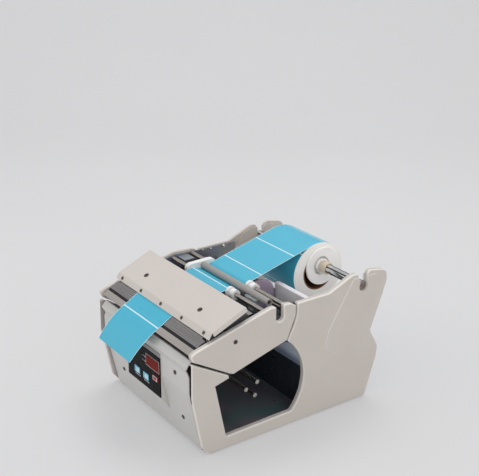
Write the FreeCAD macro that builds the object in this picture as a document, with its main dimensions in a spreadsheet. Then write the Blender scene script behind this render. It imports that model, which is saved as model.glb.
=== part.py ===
import FreeCAD, Part
import math
import os
import re
from types import SimpleNamespace

from FreeCAD import Placement, Rotation, Vector

# Label dispenser: a powered table-top machine that pulls a roll of labels
# forward under a hinged hood and over a peel bar.
# Millimetres. X runs across the machine, +Y to the back, +Z up. The parts are
# drawn from the front bottom corner of the side covers, on the centre plane,
# and moved at the end so that the whole stands centred on the origin.

DIMENSIONS = {
    # The case
    "overall_width": 290.0,
    "cover_wall": 9.0,
    "cover_edge_radius": 2.6,
    "seam_gap": 1.4,
    "strap_height": 1.6,
    "strap_edge_radius": 1.5,
    "cover_skin": 2.2,
    "frame_wall": 2.0,
    "sheet_wall": 1.5,
    "panel_side_gap": 1.5,
    "cover_top_level": 209.0,
    "cover_back": 354.5,
    "base_back": 317.0,
    # Floor, walls and feet inside the case
    "foot_radius": 11.0,
    "foot_reach": 2.0,
    "foot_inset": 26.0,
    "floor_level": 12.0,
    "base_flange_depth": 9.0,
    "bulkhead_back": 192.0,
    "bulkhead_top": 85.0,
    "drive_bay": 42.0,
    "drive_wall_top": 146.0,
    "rear_panel_back": 310.0,
    "rear_panel_top": 118.0,
    "deck_front": 218.0,
    "deck_rise": 182.0,
    "perforation_radius": 1.6,
    "perforation_pitch": 24.0,
    # Front panel and controls
    "panel_face": -23.4,
    "panel_bend_level": 105.0,
    "nose_reach": 4.2,
    "control_half_width": 51.0,
    "control_low": 62.5,
    "control_high": 131.5,
    "control_wall": 1.6,
    "key_width": 16.0,
    "key_height": 11.0,
    "key_clearance": 0.25,
    "key_proud": 1.2,
    "key_travel": 0.8,
    "display_width": 39.0,
    "display_height": 18.5,
    "board_depth": 8.0,
    # Table, peel bar and hood
    "table_angle": 29.0,
    "bar_front": -23.5,
    "bar_top": 172.0,
    "bar_length": 11.4,
    "bar_thickness": 5.0,
    "tooth_gap": 5.0,
    "tooth_pitch": 4.0,
    "tooth_depth": 1.4,
    "table_pin_gap": 0.5,
    "table_bend": 12.0,
    "table_back": 98.0,
    "table_back_level": 204.5,
    "hood_side_gap": 4.0,
    "hood_wall": 1.2,
    "hood_flange": 8.0,
    "hood_pivot_back": 82.0,
    "hood_pivot_level": 199.0,
    "hood_pin_radius": 3.0,
    "hood_arm_inset": 5.0,
    "hood_pin_end": 2.5,
    "pivot_clearance": 0.05,
    "sensor_back": 60.0,
    "sensor_level": 210.0,
    "sensor_rail_radius": 3.0,
    # Label path
    "web_left": -70.0,
    "web_right": 38.0,
    "web_thickness": 0.4,
    "rod_radius": 4.0,
    "front_rod_back": 114.0,
    "front_rod_level": 204.5,
    "rear_rod_back": 152.0,
    "rear_rod_level": 205.5,
    "ring_radius": 9.0,
    "ring_neck_radius": 6.4,
    "ring_hub_radius": 8.2,
    "ring_flange": 5.0,
    "ring_neck": 3.4,
    "ring_length": 18.0,
    "ring_web_gap": 0.8,
    "edge_guide_radius": 10.0,
    "edge_guide_wall": 10.0,
    "collar_length": 8.0,
    "tension_back": 135.5,
    "tension_level": 208.0,
    "tension_tube_radius": 6.0,
    "tension_bar_radius": 4.0,
    "tension_left": -70.0,
    "tension_right": 116.0,
    "disc_back": 175.0,
    "disc_level": 180.4,
    "disc_radius": 29.0,
    "disc_inset": 1.0,
    "disc_wall": 2.0,
    "disc_hub_radius": 8.0,
    # Label roll and its shaft
    "shaft_back": 302.0,
    "shaft_level": 205.0,
    "shaft_radius": 8.0,
    "shaft_length": 284.0,
    "core_bore": 29.5,
    "core_wall": 2.5,
    "roll_radius": 52.0,
    "roll_shift": -5.7,
    "hub_radius": 33.3,
    "hub_nose_radius": 17.0,
    "hub_depth": 14.0,
    "hub_proud": 4.4,
    "hub_boss_radius": 12.8,
    "hub_collar_radius": 10.2,
    "hub_collar_proud": 21.0,
    "contact_gap": 0.3,
    "running_gap": 0.05,
    # Take-up spindle and drive
    "spindle_back": 97.6,
    "spindle_level": 74.0,
    "spindle_rod_ring": 13.0,
    "spindle_rod_radius": 3.6,
    "spindle_end_gap": 8.0,
    "spindle_disc_radius": 34.0,
    "spindle_disc_wall": 4.0,
    "spindle_shaft_radius": 5.0,
    "gear_module": 1.0,
    "gear_teeth": 72,
    "pinion_teeth": 18,
    "gear_face": 8.0,
    "gear_gap": 4.0,
    "motor_radius": 24.0,
    "motor_length": 22.0,
    "motor_shaft_radius": 3.0,
}

doc = FreeCAD.newDocument("LabelDispenser")
sheet = doc.addObject("Spreadsheet::Sheet", "Sizes")
for row, (name, number) in enumerate(DIMENSIONS.items(), start=1):
    sheet.set(f"A{row}", name)
    sheet.set(f"B{row}", str(number))
    sheet.setAlias(f"B{row}", name)
doc.recompute()

S = SimpleNamespace(**{name: float(sheet.get(name)) for name in DIMENSIONS})
LEFT, RIGHT = -1, 1
parts = []


def formula(text):
    """Spell out a formula of named sizes for the document."""
    return re.sub(r"[a-z_]+", lambda word: "Sizes." + word.group(0), str(text))


def bind(thing, **formulas):
    """Tie properties to the sheet; x, y and z are the placement's base."""
    places = {"x": ".Placement.Base.x", "y": ".Placement.Base.y", "z": ".Placement.Base.z"}
    for prop, text in formulas.items():
        thing.setExpression(places.get(prop, prop), formula(text))
    return thing


def finish(thing, label):
    """Name a finished sub-part."""
    thing.Label = label
    parts.append(thing)
    return thing


def rounded(points):
    """Lines and tangent arcs of a closed outline of (across, up, corner radius)."""
    corners = [Vector(p[0], p[1], 0) for p in points]
    count = len(points)
    halves, setbacks = [], []
    for i, corner in enumerate(corners):
        before, after = corners[i - 1] - corner, corners[(i + 1) % count] - corner
        half = before.getAngle(after) / 2
        radius = points[i][2] if len(points[i]) > 2 and half < math.radians(89.5) else 0
        halves.append(half)
        setbacks.append(radius / math.tan(half))
    for i in range(count):
        j = (i + 1) % count
        room = 0.99 * corners[i].distanceToPoint(corners[j])
        if setbacks[i] + setbacks[j] > room:
            share = room / (setbacks[i] + setbacks[j])
            setbacks[i], setbacks[j] = setbacks[i] * share, setbacks[j] * share
    geometry, entries, exits = [], [], []
    for i, corner in enumerate(corners):
        before = (corners[i - 1] - corner).normalize()
        after = (corners[(i + 1) % count] - corner).normalize()
        entries.append(corner + before * setbacks[i])
        exits.append(corner + after * setbacks[i])
        if setbacks[i] > 1e-6:
            radius = setbacks[i] * math.tan(halves[i])
            reach = radius / math.sin(halves[i]) - radius
            middle = corner + (before + after).normalize() * reach
            geometry.append(Part.Arc(entries[i], middle, exits[i]))
    for i in range(count):
        start, end = exits[i], entries[(i + 1) % count]
        if start.distanceToPoint(end) > 1e-6:
            geometry.append(Part.LineSegment(start, end))
    return geometry


def folded(path, wall):
    """Closed outline of a folded sheet: its outer path, and the same path set in by its wall."""
    inner = []
    for i, point in enumerate(path):
        here = Vector(point[0], point[1], 0)
        sides = []
        for a, b in ((i - 1, i), (i, i + 1)):
            if a >= 0 and b < len(path):
                run = Vector(path[b][0] - path[a][0], path[b][1] - path[a][1], 0).normalize()
                sides.append(Vector(-run.y, run.x, 0))
        normal = (sides[0] + sides[-1]).normalize()
        spot = here + normal * (wall / normal.dot(sides[0]))
        radius = point[2] if len(point) > 2 else 0
        inner.append((spot.x, spot.y, max(radius - math.copysign(wall, turn(path, i)), 0)))
    return list(path) + inner[::-1]


def turn(path, i):
    """Positive where a path bends towards its inner side."""
    if i == 0 or i == len(path) - 1:
        return 1
    ay, az = path[i][0] - path[i - 1][0], path[i][1] - path[i - 1][1]
    by, bz = path[i + 1][0] - path[i][0], path[i + 1][1] - path[i][1]
    return ay * bz - az * by


def sketch_on(body, outlines, start, plane="YZ_Plane"):
    """A sketch across the machine, at the place that a formula gives."""
    sketch = body.newObject("Sketcher::SketchObject", "Profile")
    role = next(feature for feature in body.Origin.OriginFeatures if feature.Role == plane)
    sketch.AttachmentSupport = [(role, "")]
    sketch.MapMode = "FlatFace"
    sketch.setExpression(".AttachmentOffset.Base.z", formula(start))
    for outline in outlines:
        sketch.addGeometry(outline, False)
    return sketch


def new_body():
    return doc.addObject("PartDesign::Body", "Body")


def pad(body, outlines, start, length, plane="YZ_Plane"):
    """Add a profile along +X, or along the plane's own normal."""
    feature = body.newObject("PartDesign::Pad", "Pad")
    feature.Profile = sketch_on(body, outlines, start, plane)
    feature.setExpression("Length", formula(length))
    body.Tip = feature
    return feature


def pocket(body, outlines, start, length, plane="YZ_Plane"):
    """Cut a profile away, from its start along the plane's normal."""
    feature = body.newObject("PartDesign::Pocket", "Pocket")
    feature.Profile = sketch_on(body, outlines, start, plane)
    feature.Reversed = True
    feature.setExpression("Length", formula(length))
    body.Tip = feature
    return feature


def fillet_face_edges(body, x, radius):
    """Round every edge that lies in the plane X = x."""
    doc.recompute()
    names = [
        f"Edge{i}" for i, edge in enumerate(body.Shape.Edges, start=1)
        if all(abs(vertex.X - x) < 1e-4 for vertex in edge.Vertexes)
        and abs(edge.CenterOfMass.x - x) < 1e-4
    ]
    base = body.Tip
    feature = body.newObject("PartDesign::Fillet", "Fillet")
    feature.Base = (base, names)
    feature.setExpression("Radius", formula(radius))
    body.Tip = feature


def rod(radius, start, length, back, level, axis="X"):
    """A cylinder along X from its start, or along Y or Z."""
    cylinder = doc.addObject("Part::Cylinder", "Rod")
    turned = {"X": Rotation(Vector(0, 1, 0), 90), "Y": Rotation(Vector(1, 0, 0), -90), "Z": Rotation()}
    cylinder.Placement = Placement(Vector(), turned[axis])
    return bind(cylinder, Radius=radius, Height=length, x=start, y=back, z=level)


def block(start, length, back, depth, level, height):
    """A box given by its low corner and its size."""
    box = doc.addObject("Part::Box", "Block")
    return bind(box, Length=length, Width=depth, Height=height, x=start, y=back, z=level)


def cut(base, tool):
    result = doc.addObject("Part::Cut", "Cut")
    result.Base, result.Tool = base, tool
    return result


def fuse(*shapes):
    if len(shapes) == 1:
        return shapes[0]
    result = doc.addObject("Part::MultiFuse", "Fuse")
    result.Shapes = list(shapes)
    return result


def circle(back, level, radius):
    return [Part.Circle(Vector(back, level, 0), Vector(0, 0, 1), radius)]


def rectangle(left, low, right, high):
    return rounded([(left, low), (right, low), (right, high), (left, high)])


cover_inside = S.overall_width / 2 - S.cover_wall
frame_inside = cover_inside - S.frame_wall
INSIDE = "overall_width / 2 - cover_wall - frame_wall"
DRIVE_WALL = "overall_width / 2 - cover_wall - frame_wall - drive_bay"
HOOD_HALF = "overall_width / 2 - hood_side_gap"
TABLE_HALF = "overall_width / 2 - cover_wall - frame_wall - hood_arm_inset - hood_pin_end - table_pin_gap"
drive_wall = frame_inside - S.drive_bay
gear_place = frame_inside - S.motor_length - S.gear_gap
wall_back = S.rear_panel_back - 4
table_slope = math.tan(math.radians(S.table_angle))


def table_level(back):
    """Height of the sloping front of the table."""
    return S.bar_top + (back - S.bar_front) * table_slope


# The side of the case: a lower cover with the ear that carries the roll, and
# an arm cover at the front and above, with a seam between them.

EAR_SLOT_RADIUS = 9.4
ear_slot_foot = S.shaft_level + 0.8
opening_centre = Vector(S.spindle_back, S.spindle_level + 7, 0)
OPENING_RADIUS = 86.5


def slot(back, foot, radius, top):
    """An upright slot with a round foot, open at the top."""
    return [
        Part.LineSegment(Vector(back - radius, top, 0), Vector(back - radius, foot, 0)),
        Part.Arc(Vector(back - radius, foot, 0), Vector(back, foot - radius, 0), Vector(back + radius, foot, 0)),
        Part.LineSegment(Vector(back + radius, foot, 0), Vector(back + radius, top, 0)),
        Part.LineSegment(Vector(back + radius, top, 0), Vector(back - radius, top, 0)),
    ]


def chamber_opening(margin):
    """The D-shaped side opening of the take-up chamber, open at its top edge."""
    radius = OPENING_RADIUS + margin
    low, high = math.radians(-43), math.radians(51)
    at = lambda angle: opening_centre + Vector(radius * math.cos(angle), radius * math.sin(angle), 0)
    first, last = at(low), at(high)
    front = [
        (last.x, last.y), (150, 175), (20, 175), (41.5 - margin, 119 + margin),
        (16 - margin, 112.5 + margin), (35 - margin, 20 - margin), (first.x, first.y),
    ]
    corners = [Vector(*point, 0) for point in front]
    lines = [Part.LineSegment(a, b) for a, b in zip(corners, corners[1:])]
    return lines + [Part.Arc(first, at((low + high) / 2), last)]


def cover_outline():
    back, top = S.cover_back, S.cover_top_level
    shaft, slot_half = S.shaft_back, EAR_SLOT_RADIUS
    slot_low = ear_slot_foot - EAR_SLOT_RADIUS
    return rounded([
        (3, 0, 4), (-9.5, 16, 14), (-26, 104, 25), (-25, 161, 1.5), (45.5, 120.5, 0),
        (151.5, 149.5, 0), (163.5, 174, 8), (168.4, 190, 10), (169.5, top, 2),
        (shaft - 70, top, 8), (shaft - 23, top + 19.5, 9), (shaft - slot_half, top + 19.5, 6),
        (shaft - slot_half, slot_low, slot_half - 0.4), (shaft + slot_half, slot_low, slot_half - 0.4),
        (shaft + slot_half, top + 21.5, 7), (back - 1.5, top + 13.4, 13), (back, top - 6, 0),
        (back - 8.5, top - 31, 20), (back - 31.5, 120, 9), (back - 13.5, 88, 14), (back - 15, 70, 20),
        (S.base_back, 0, 3),
    ])


def strap_outline():
    """The raised field below the ear, shaped like a long drop."""
    back, top = S.cover_back, S.cover_top_level
    shaft = S.shaft_back
    return rounded([
        (shaft - 21.5, top + 14, 5), (shaft - 71, 144, 18), (shaft - 77, 113, 16), (shaft - 52, 88, 20),
        (shaft - 13, 123, 16), (back - 30.5, 187, 30), (back - 14.5, top + 2, 9), (shaft + 26, top + 13, 8),
        (shaft, top + 11.5, 0),
    ])


def edge_hollow():
    """Where the cover's front edge is only a thin skin beside the front panel."""
    return rounded([(-40, 94), (11, 94, 4), (11, 136, 4), (-40, 168)])


def side_cover(side, label):
    body = new_body()
    start = "overall_width / 2 - cover_wall" if side == RIGHT else "-overall_width / 2"
    pad(body, [cover_outline()], start, "cover_wall")
    if side == RIGHT:
        pocket(body, [chamber_opening(0)], start, "cover_wall")
    fillet_face_edges(body, side * S.overall_width / 2, "cover_edge_radius")
    if side == RIGHT:
        pad(body, [strap_outline()], "overall_width / 2", "strap_height")
    else:
        pad(body, [strap_outline()], "-overall_width / 2 - strap_height", "strap_height")
    fillet_face_edges(body, side * (S.overall_width / 2 + S.strap_height), "strap_edge_radius")
    hollow_start = start if side == RIGHT else "-overall_width / 2 + cover_skin"
    pocket(body, [edge_hollow()], hollow_start, "cover_wall - cover_skin")
    pocket(body, [slot(S.shaft_back, ear_slot_foot, EAR_SLOT_RADIUS, S.cover_top_level + 40)],
           "-overall_width", "2 * overall_width")
    finish(body, label)


TENSION_SLOT_RADIUS = 7.4


def arm_outline(side):
    """The cover of the arm above the seam, on the right with the slot of the tension bar."""
    top, gap, half = S.cover_top_level, S.seam_gap, TENSION_SLOT_RADIUS
    foot = S.tension_level - 14 - half
    slot_corners = [
        (S.tension_back - half, 213.6, 3), (S.tension_back - half, foot, half - 0.4),
        (S.tension_back + half, foot, half - 0.4), (S.tension_back + half, 213.6, 3),
    ]
    return rounded([
        (-22.5, 163 + gap, 2), (-25.8, 174, 3), (-17.5, 178.6, 4), (42, 194.5, 60), (118, 213.6, 5),
        *(slot_corners if side == RIGHT else []), (157, 211.6, 4), (166, top - 3, 4),
        (166.5 - gap / 2, 190, 8), (151 - gap, 151.5, 2), (48.5, 122 + gap, 6), (43, 124.5 + gap, 2),
    ])


def arm_cover(side, label):
    body = new_body()
    start = "overall_width / 2 - cover_wall" if side == RIGHT else "-overall_width / 2"
    pad(body, [arm_outline(side)], start, "cover_wall")
    fillet_face_edges(body, side * S.overall_width / 2, "cover_edge_radius")
    finish(body, label)


def frame_plate(side, label):
    """The steel wall behind the covers that carries rods, bars and drive."""
    body = new_body()
    start = INSIDE if side == RIGHT else "-(" + INSIDE + ") - frame_wall"
    top = S.cover_top_level
    outline = rounded([
        (14, 3), (12, 60), (12, 138), (-20.5, 166), (-21, 172, 2), (-14.5, 176.5, 3), (42, 191.5, 40),
        (116, 209.5, 4), (160, top - 1.5, 4), (S.shaft_back - 55, top - 3, 3), (S.shaft_back - 62, top - 18),
        (S.shaft_back - 88, S.drive_wall_top, 6), (S.shaft_back - 70, S.rear_panel_top - 10, 4),
        (wall_back, S.rear_panel_top - 10, 3), (wall_back, 3),
    ])
    pad(body, [outline], start, "frame_wall")
    foot = S.tension_level - 13.5
    if side == RIGHT:
        pocket(body, [slot(S.tension_back, foot, TENSION_SLOT_RADIUS - 1.2, top + 40)], "0", "overall_width")
        pocket(body, [chamber_window()], "0", "overall_width")
        level = foot - TENSION_SLOT_RADIUS - 2
        pad(body, [rectangle(S.front_rod_back + 8, level, S.rear_rod_back - 6, level + 2)], INSIDE + " - 16", "16")
    else:
        level = S.tension_level - 4
        pad(body, [rectangle(S.front_rod_back + 9, level, S.rear_rod_back - 9, level + 2)],
            "-(" + INSIDE + ")", "24")
    finish(body, label)


def chamber_window():
    """The opening of the right frame plate, just clear of the cover's."""
    radius = OPENING_RADIUS + 2
    low, high = math.radians(-43), math.radians(40)
    at = lambda angle: opening_centre + Vector(radius * math.cos(angle), radius * math.sin(angle), 0)
    first, last = at(low), at(high)
    corners = [last, Vector(146, 147, 0), Vector(52, 120, 0), Vector(14, 111, 0), Vector(33, 18, 0), first]
    lines = [Part.LineSegment(a, b) for a, b in zip(corners, corners[1:])]
    return lines + [Part.Arc(first, at((low + high) / 2), last)]


def ear_plate(side, label):
    """The painted plate inside the ear, with the slot that the shaft turns in."""
    body = new_body()
    start = INSIDE if side == RIGHT else "-(" + INSIDE + ") - frame_wall"
    top, shaft, back = S.cover_top_level, S.shaft_back, S.cover_back
    outline = rounded([
        (shaft - 86, S.drive_wall_top + 1, 4), (shaft - 61, top - 19), (shaft - 41, top + 9, 3),
        (shaft - 20, top + 17, 5), (shaft - 2, top + 13), (shaft + 2, top + 13), (shaft + 27, top + 16, 6),
        (back - 5, top + 9, 10), (back - 4, top - 6), (back - 12.5, top - 33, 20),
        (back - 36.5, S.rear_panel_top, 6), (wall_back, S.rear_panel_top - 8.5, 3),
        (shaft - 69, S.rear_panel_top - 8.5, 4),
    ])
    pad(body, [outline], start, "frame_wall")
    seat = S.shaft_radius + S.running_gap
    pocket(body, [slot(shaft, S.shaft_level, seat, top + 40)], "-overall_width", "2 * overall_width")
    finish(body, label)


def base_pan():
    """The floor of the machine, a tray turned upside down."""
    body = new_body()
    floor = S.floor_level
    pad(body, [rounded([(PAN_FRONT, floor - S.base_flange_depth), (PAN_FRONT, floor + S.sheet_wall),
                        (S.rear_panel_back - S.sheet_wall, floor + S.sheet_wall),
                        (S.rear_panel_back - S.sheet_wall, floor - S.base_flange_depth)])],
        "-(" + INSIDE + ")", "2 * (" + INSIDE + ")")
    inner = rectangle(PAN_FRONT + S.sheet_wall, 0, S.rear_panel_back - 2 * S.sheet_wall, floor)
    pocket(body, [inner], "-(" + INSIDE + ") + sheet_wall", "2 * (" + INSIDE + ") - 2 * sheet_wall")
    finish(body, "base_pan")


def feet():
    pads = []
    for x in ("-(" + INSIDE + ") + foot_inset", INSIDE + " - foot_inset"):
        for y in (f"{PAN_FRONT} + foot_inset", "rear_panel_back - foot_inset"):
            pads.append(rod("foot_radius", x, "floor_level + foot_reach", y, "-foot_reach", "Z"))
    finish(fuse(*pads), "rubber_feet")


SKIRT_FOOT = (-1.2, 2.5)
PAN_FRONT = 8


def front_panel():
    """The folded front: bezel nose, upright face and sloping skirt, with the key housing."""
    body = new_body()
    face = S.panel_face
    path = [
        (-9, 154.5, 0), (-18.2, 160.8, 2.5), (face - S.nose_reach, 151, 4.5), (face, 139.5, 5),
        (face, S.panel_bend_level, 20), (*SKIRT_FOOT, 0), (PAN_FRONT, SKIRT_FOOT[1], 0),
    ]
    start, length = f"-({INSIDE}) + panel_side_gap", f"2 * ({INSIDE}) - 2 * panel_side_gap"
    pad(body, [rounded(folded(path, S.sheet_wall))], start, length)
    low_back = face + (S.panel_bend_level - 39) * (SKIRT_FOOT[0] - face) / (S.panel_bend_level - SKIRT_FOOT[1])
    housing = rounded([(face, S.panel_bend_level + 4), (face, S.control_low), (low_back, 39), (low_back + 1.2, 39),
                       (face + S.sheet_wall, S.panel_bend_level + 4)])
    pad(body, [housing], "-control_half_width", "2 * control_half_width")
    wall = S.sheet_wall
    hollow = rounded([
        (face + wall, S.control_high - 6), (face + wall, S.control_low + wall),
        (low_back - 2, 44), (low_back + 8, 44), (0, S.control_high - 6),
    ])
    pocket(body, [hollow], "-control_half_width + sheet_wall", "2 * control_half_width - 2 * sheet_wall")
    for x, level, width, height in window_places():
        hole = rectangle(x - width / 2, level - height / 2, x + width / 2, level + height / 2)
        upright_cut(body, [hole], face - 1, 4)
    edge = frame_inside - S.panel_side_gap
    for side in (LEFT, RIGHT):
        relief = rounded([(side * (edge + 5), 127), (side * (edge - 7), 143), (side * (edge + 5), 154)])
        upright_cut(body, [relief], face - 6, 12)
    finish(body, "front_panel")


def upright_cut(body, outlines, back, depth):
    """Cut a profile that faces the front, from a place in Y and backwards."""
    feature = body.newObject("PartDesign::Pocket", "Window")
    sketch = body.newObject("Sketcher::SketchObject", "Face")
    role = next(item for item in body.Origin.OriginFeatures if item.Role == "XZ_Plane")
    sketch.AttachmentSupport = [(role, "")]
    sketch.MapMode = "FlatFace"
    sketch.AttachmentOffset = Placement(Vector(0, 0, -back), Rotation())
    for outline in outlines:
        sketch.addGeometry(outline, False)
    feature.Profile = sketch
    feature.Length = depth
    body.Tip = feature
    return feature


KEYS = {"key_left": (-20.4, 82.0), "key_right": (7.2, 82.0), "key_stop": (37.0, 92.5)}
DISPLAY_PLACE = (28.0, 113.0)


def window_places():
    """Centre and size of every hole in the control panel."""
    gap = 2 * S.key_clearance
    holes = [(x, level, S.key_width + gap, S.key_height + gap) for x, level in KEYS.values()]
    holes.append((*DISPLAY_PLACE, S.display_width, S.display_height))
    return holes


def control_panel():
    plate = block("-control_half_width", "2 * control_half_width", "panel_face - control_wall", "control_wall",
                  "control_low", "control_high - control_low")
    tools = []
    for x, level, width, height in window_places():
        tools.append(block(x - width / 2, width, "panel_face - control_wall - 1", "control_wall + 2",
                           level - height / 2, height))
    finish(cut(plate, fuse(*tools)), "control_panel")


def display():
    x, level = DISPLAY_PLACE
    finish(block(f"{x} - display_width / 2", "display_width", "panel_face - control_wall - 0.3",
                 "board_depth + control_wall + 0.3", f"{level} - display_height / 2", "display_height"),
           "display_window")


def keys():
    for label, (x, level) in KEYS.items():
        cap = block(f"{x} - key_width / 2", "key_width", "panel_face - control_wall - key_proud",
                    "board_depth + control_wall + key_proud - key_travel - 0.1",
                    f"{level} - key_height / 2", "key_height")
        rounded_cap = doc.addObject("Part::Fillet", "Cap")
        rounded_cap.Base = cap
        doc.recompute()
        front = S.panel_face - S.control_wall - S.key_proud
        edges = [
            (i, 0.6, 0.6) for i, edge in enumerate(cap.Shape.Edges, start=1)
            if abs(edge.CenterOfMass.y - front) < 1e-4
        ]
        rounded_cap.Edges = edges
        finish(rounded_cap, label)


def control_board():
    finish(block("-control_half_width + 5", "2 * control_half_width - 10", "panel_face + board_depth", "1.6",
                 "control_low + 6", "control_high - control_low - 16"), "control_board")


def panel_trim():
    finish(block("-control_half_width", "2 * control_half_width", "panel_face - 1", "1",
                 "control_high + 0.3", "6.5"), "panel_trim")


SCREW_RADIUS = 3.5
ARM_SCREW = (51.8, 176.9)


def panel_screws():
    """Four screws of the front panel, and one in each arm cover."""
    face = S.panel_face
    fall = (SKIRT_FOOT[0] - face) / (S.panel_bend_level - SKIRT_FOOT[1])
    skirt_back = face + (S.panel_bend_level - 45.6) * fall
    skirt_out = Vector(0, -1, -fall).normalize()
    heads = []
    for x in (-94.0, 94.0):
        heads.append(Part.makeCylinder(SCREW_RADIUS, 1, Vector(x, face, 127), Vector(0, -1, 0)))
        heads.append(Part.makeCylinder(SCREW_RADIUS, 1, Vector(x, skirt_back, 45.6), skirt_out))
    for side in (LEFT, RIGHT):
        place = Vector(side * S.overall_width / 2, *ARM_SCREW)
        heads.append(Part.makeCylinder(SCREW_RADIUS, 0.8, place, Vector(side, 0, 0)))
    group = doc.addObject("Part::Feature", "Screws")
    group.Shape = Part.makeCompound(heads)
    finish(group, "case_screws")


# Inner walls

def rear_bulkhead():
    """The perforated wall at the back of the take-up chamber, with a baffle folded forward above it."""
    body = new_body()
    back, top, wall = S.bulkhead_back, S.bulkhead_top, S.sheet_wall
    path = [(back, S.floor_level + wall, 0), (back, top, 3), (back - 26, top + 56, 0)]
    pad(body, [rounded(folded(path, -wall))], f"-({DRIVE_WALL})", f"{INSIDE} + {DRIVE_WALL}")
    holes = []
    pitch = S.perforation_pitch
    for column in range(int((frame_inside + drive_wall) // pitch) - 1):
        for line in range(3):
            x = -drive_wall + pitch * (column + 1)
            level = S.floor_level + 14 + pitch * line * 0.9
            holes.append(Part.Circle(Vector(x, level, 0), Vector(0, 0, 1), S.perforation_radius))
    upright_cut(body, [holes], back - 2, 6)
    finish(body, "rear_bulkhead")


def drive_bulkhead():
    wall = block(f"-({DRIVE_WALL}) - frame_wall", "frame_wall", "24", "bulkhead_back - 24",
                 "floor_level + sheet_wall", "drive_wall_top - floor_level - sheet_wall")
    hole = rod("spindle_shaft_radius + 5", f"-({DRIVE_WALL}) - frame_wall - 1", "frame_wall + 2",
               "spindle_back", "spindle_level")
    finish(cut(wall, hole), "drive_bulkhead")


def rear_panel():
    """The back wall with the holes of the mains inlet and the switch."""
    wall = block(f"-({INSIDE})", f"2 * ({INSIDE})", "rear_panel_back - sheet_wall", "sheet_wall",
                 "floor_level - base_flange_depth", "rear_panel_top - floor_level + base_flange_depth")
    inlet = block("60", "28", "rear_panel_back - 4", "8", "36", "20")
    switch = block("100", "13.4", "rear_panel_back - 4", "8", "36", "19.4")
    finish(cut(wall, fuse(inlet, switch)), "rear_panel")


def roll_deck():
    """The folded cover over the electronics, below the roll."""
    body = new_body()
    top = S.rear_panel_top
    path = [(S.rear_panel_back, top + S.sheet_wall, 0), (S.deck_front, top + 12, 6),
            (S.deck_front - 6, S.deck_rise, 0)]
    pad(body, [rounded(folded(path, S.sheet_wall))], f"-({INSIDE})", f"2 * ({INSIDE})")
    finish(body, "roll_deck")


def side_shelf():
    """The white screen right of the label path, between the clear disc and the roll."""
    body = new_body()
    front, top = S.disc_back + S.disc_radius + 4, S.deck_rise + 14
    path = [(front + 8, top, 0), (front, top, 2), (front, S.rear_panel_top + 32, 0)]
    pad(body, [rounded(folded(path, S.sheet_wall))], "web_right - 4", f"{INSIDE} - web_right + 4")
    finish(body, "side_shelf")


def cross_channel():
    """The channel between the frame plates below the tension tube."""
    body = new_body()
    front, back = S.front_rod_back + 9, S.rear_rod_back - 10
    low, high = S.tension_level - 38, S.tension_level - 24
    path = [(front, low, 0), (front, high, 2), (back, high, 2), (back, low, 0)]
    pad(body, [rounded(folded(path, -S.sheet_wall))], f"-({INSIDE})", f"2 * ({INSIDE})")
    finish(body, "cross_channel")


# Table, peel bar and hood

def sloped(points):
    """Turn places along and above the sloping table front into Y and Z."""
    angle = math.radians(S.table_angle)
    along = Vector(math.cos(angle), math.sin(angle), 0)
    above = Vector(-math.sin(angle), math.cos(angle), 0)
    placed = []
    for point in points:
        spot = Vector(S.bar_front, S.bar_top, 0) + along * point[0] + above * point[1]
        placed.append((spot.x, spot.y, point[2] if len(point) > 2 else 0))
    return placed


def peel_bar():
    body = new_body()
    length, thick = S.bar_length, S.bar_thickness
    profile = rounded(sloped([(0, 0, 0.8), (length, 0), (length, -thick), (4, -thick), (0, -1.6, 0.5)]))
    pad(body, [profile], f"-({INSIDE})", f"2 * ({INSIDE})")
    finish(body, "peel_bar")


def tear_strip():
    """The black strip in the gap behind the peel bar, with a row of teeth along its front."""
    body = new_body()
    start, end = S.bar_length, S.bar_length + S.tooth_gap
    profile = rounded(sloped([(start, -1), (end, -1), (end, -3), (start, -3)]))
    pad(body, [profile], f"-({INSIDE})", f"2 * ({INSIDE})")
    foot, tip, back = (Vector(0, place[0], place[1]) for place in sloped(
        [(start, -1.2), (start, 0), (start + S.tooth_depth, -1.2)]))
    teeth = int(2 * frame_inside // S.tooth_pitch)
    first = -teeth * S.tooth_pitch / 2
    outline = []
    for i in range(teeth):
        left = Vector(first + i * S.tooth_pitch, 0, 0)
        outline += [left + foot + (tip - foot) * 0.3, left + Vector(S.tooth_pitch / 2, 0, 0) + tip]
    outline += [Vector(-first, 0, 0) + foot + (tip - foot) * 0.3, Vector(-first, 0, 0) + foot,
                Vector(first, 0, 0) + foot]
    comb = doc.addObject("Part::Feature", "Teeth")
    comb.Shape = Part.Face(Part.makePolygon(outline + outline[:1])).extrude(back - foot)
    finish(fuse(body, comb), "tear_strip")


def table_plate():
    body = new_body()
    start = sloped([(S.bar_length + S.tooth_gap, 0)])[0]
    bend_level = table_level(S.table_bend)
    path = [
        (S.table_back + 2, S.table_back_level - 8, 0), (S.table_back, S.table_back_level, 2),
        (S.table_bend, bend_level, 12), (start[0], start[1], 0),
    ]
    pad(body, [rounded(folded(path, S.frame_wall))], f"-({TABLE_HALF})", f"2 * ({TABLE_HALF})")
    lugs = rounded(sloped([(S.bar_length + S.tooth_gap, 0), (S.bar_length + S.tooth_gap + 16, 0),
                           (S.bar_length + S.tooth_gap + 16, -2), (S.bar_length + S.tooth_gap, -2)]))
    pad(body, [lugs], f"-({INSIDE})", f"2 * ({INSIDE})")
    finish(body, "table_plate")


HOOD_LIP = (6.6, 191.1)
HOOD_BEND = (12.4, 200.4)
HOOD_BACK = (73.5, 226.8)


def hood_level(back):
    """Height of the hood's top at a place in Y."""
    return HOOD_BEND[1] + (back - HOOD_BEND[0]) * (HOOD_BACK[1] - HOOD_BEND[1]) / (HOOD_BACK[0] - HOOD_BEND[0])


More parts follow.
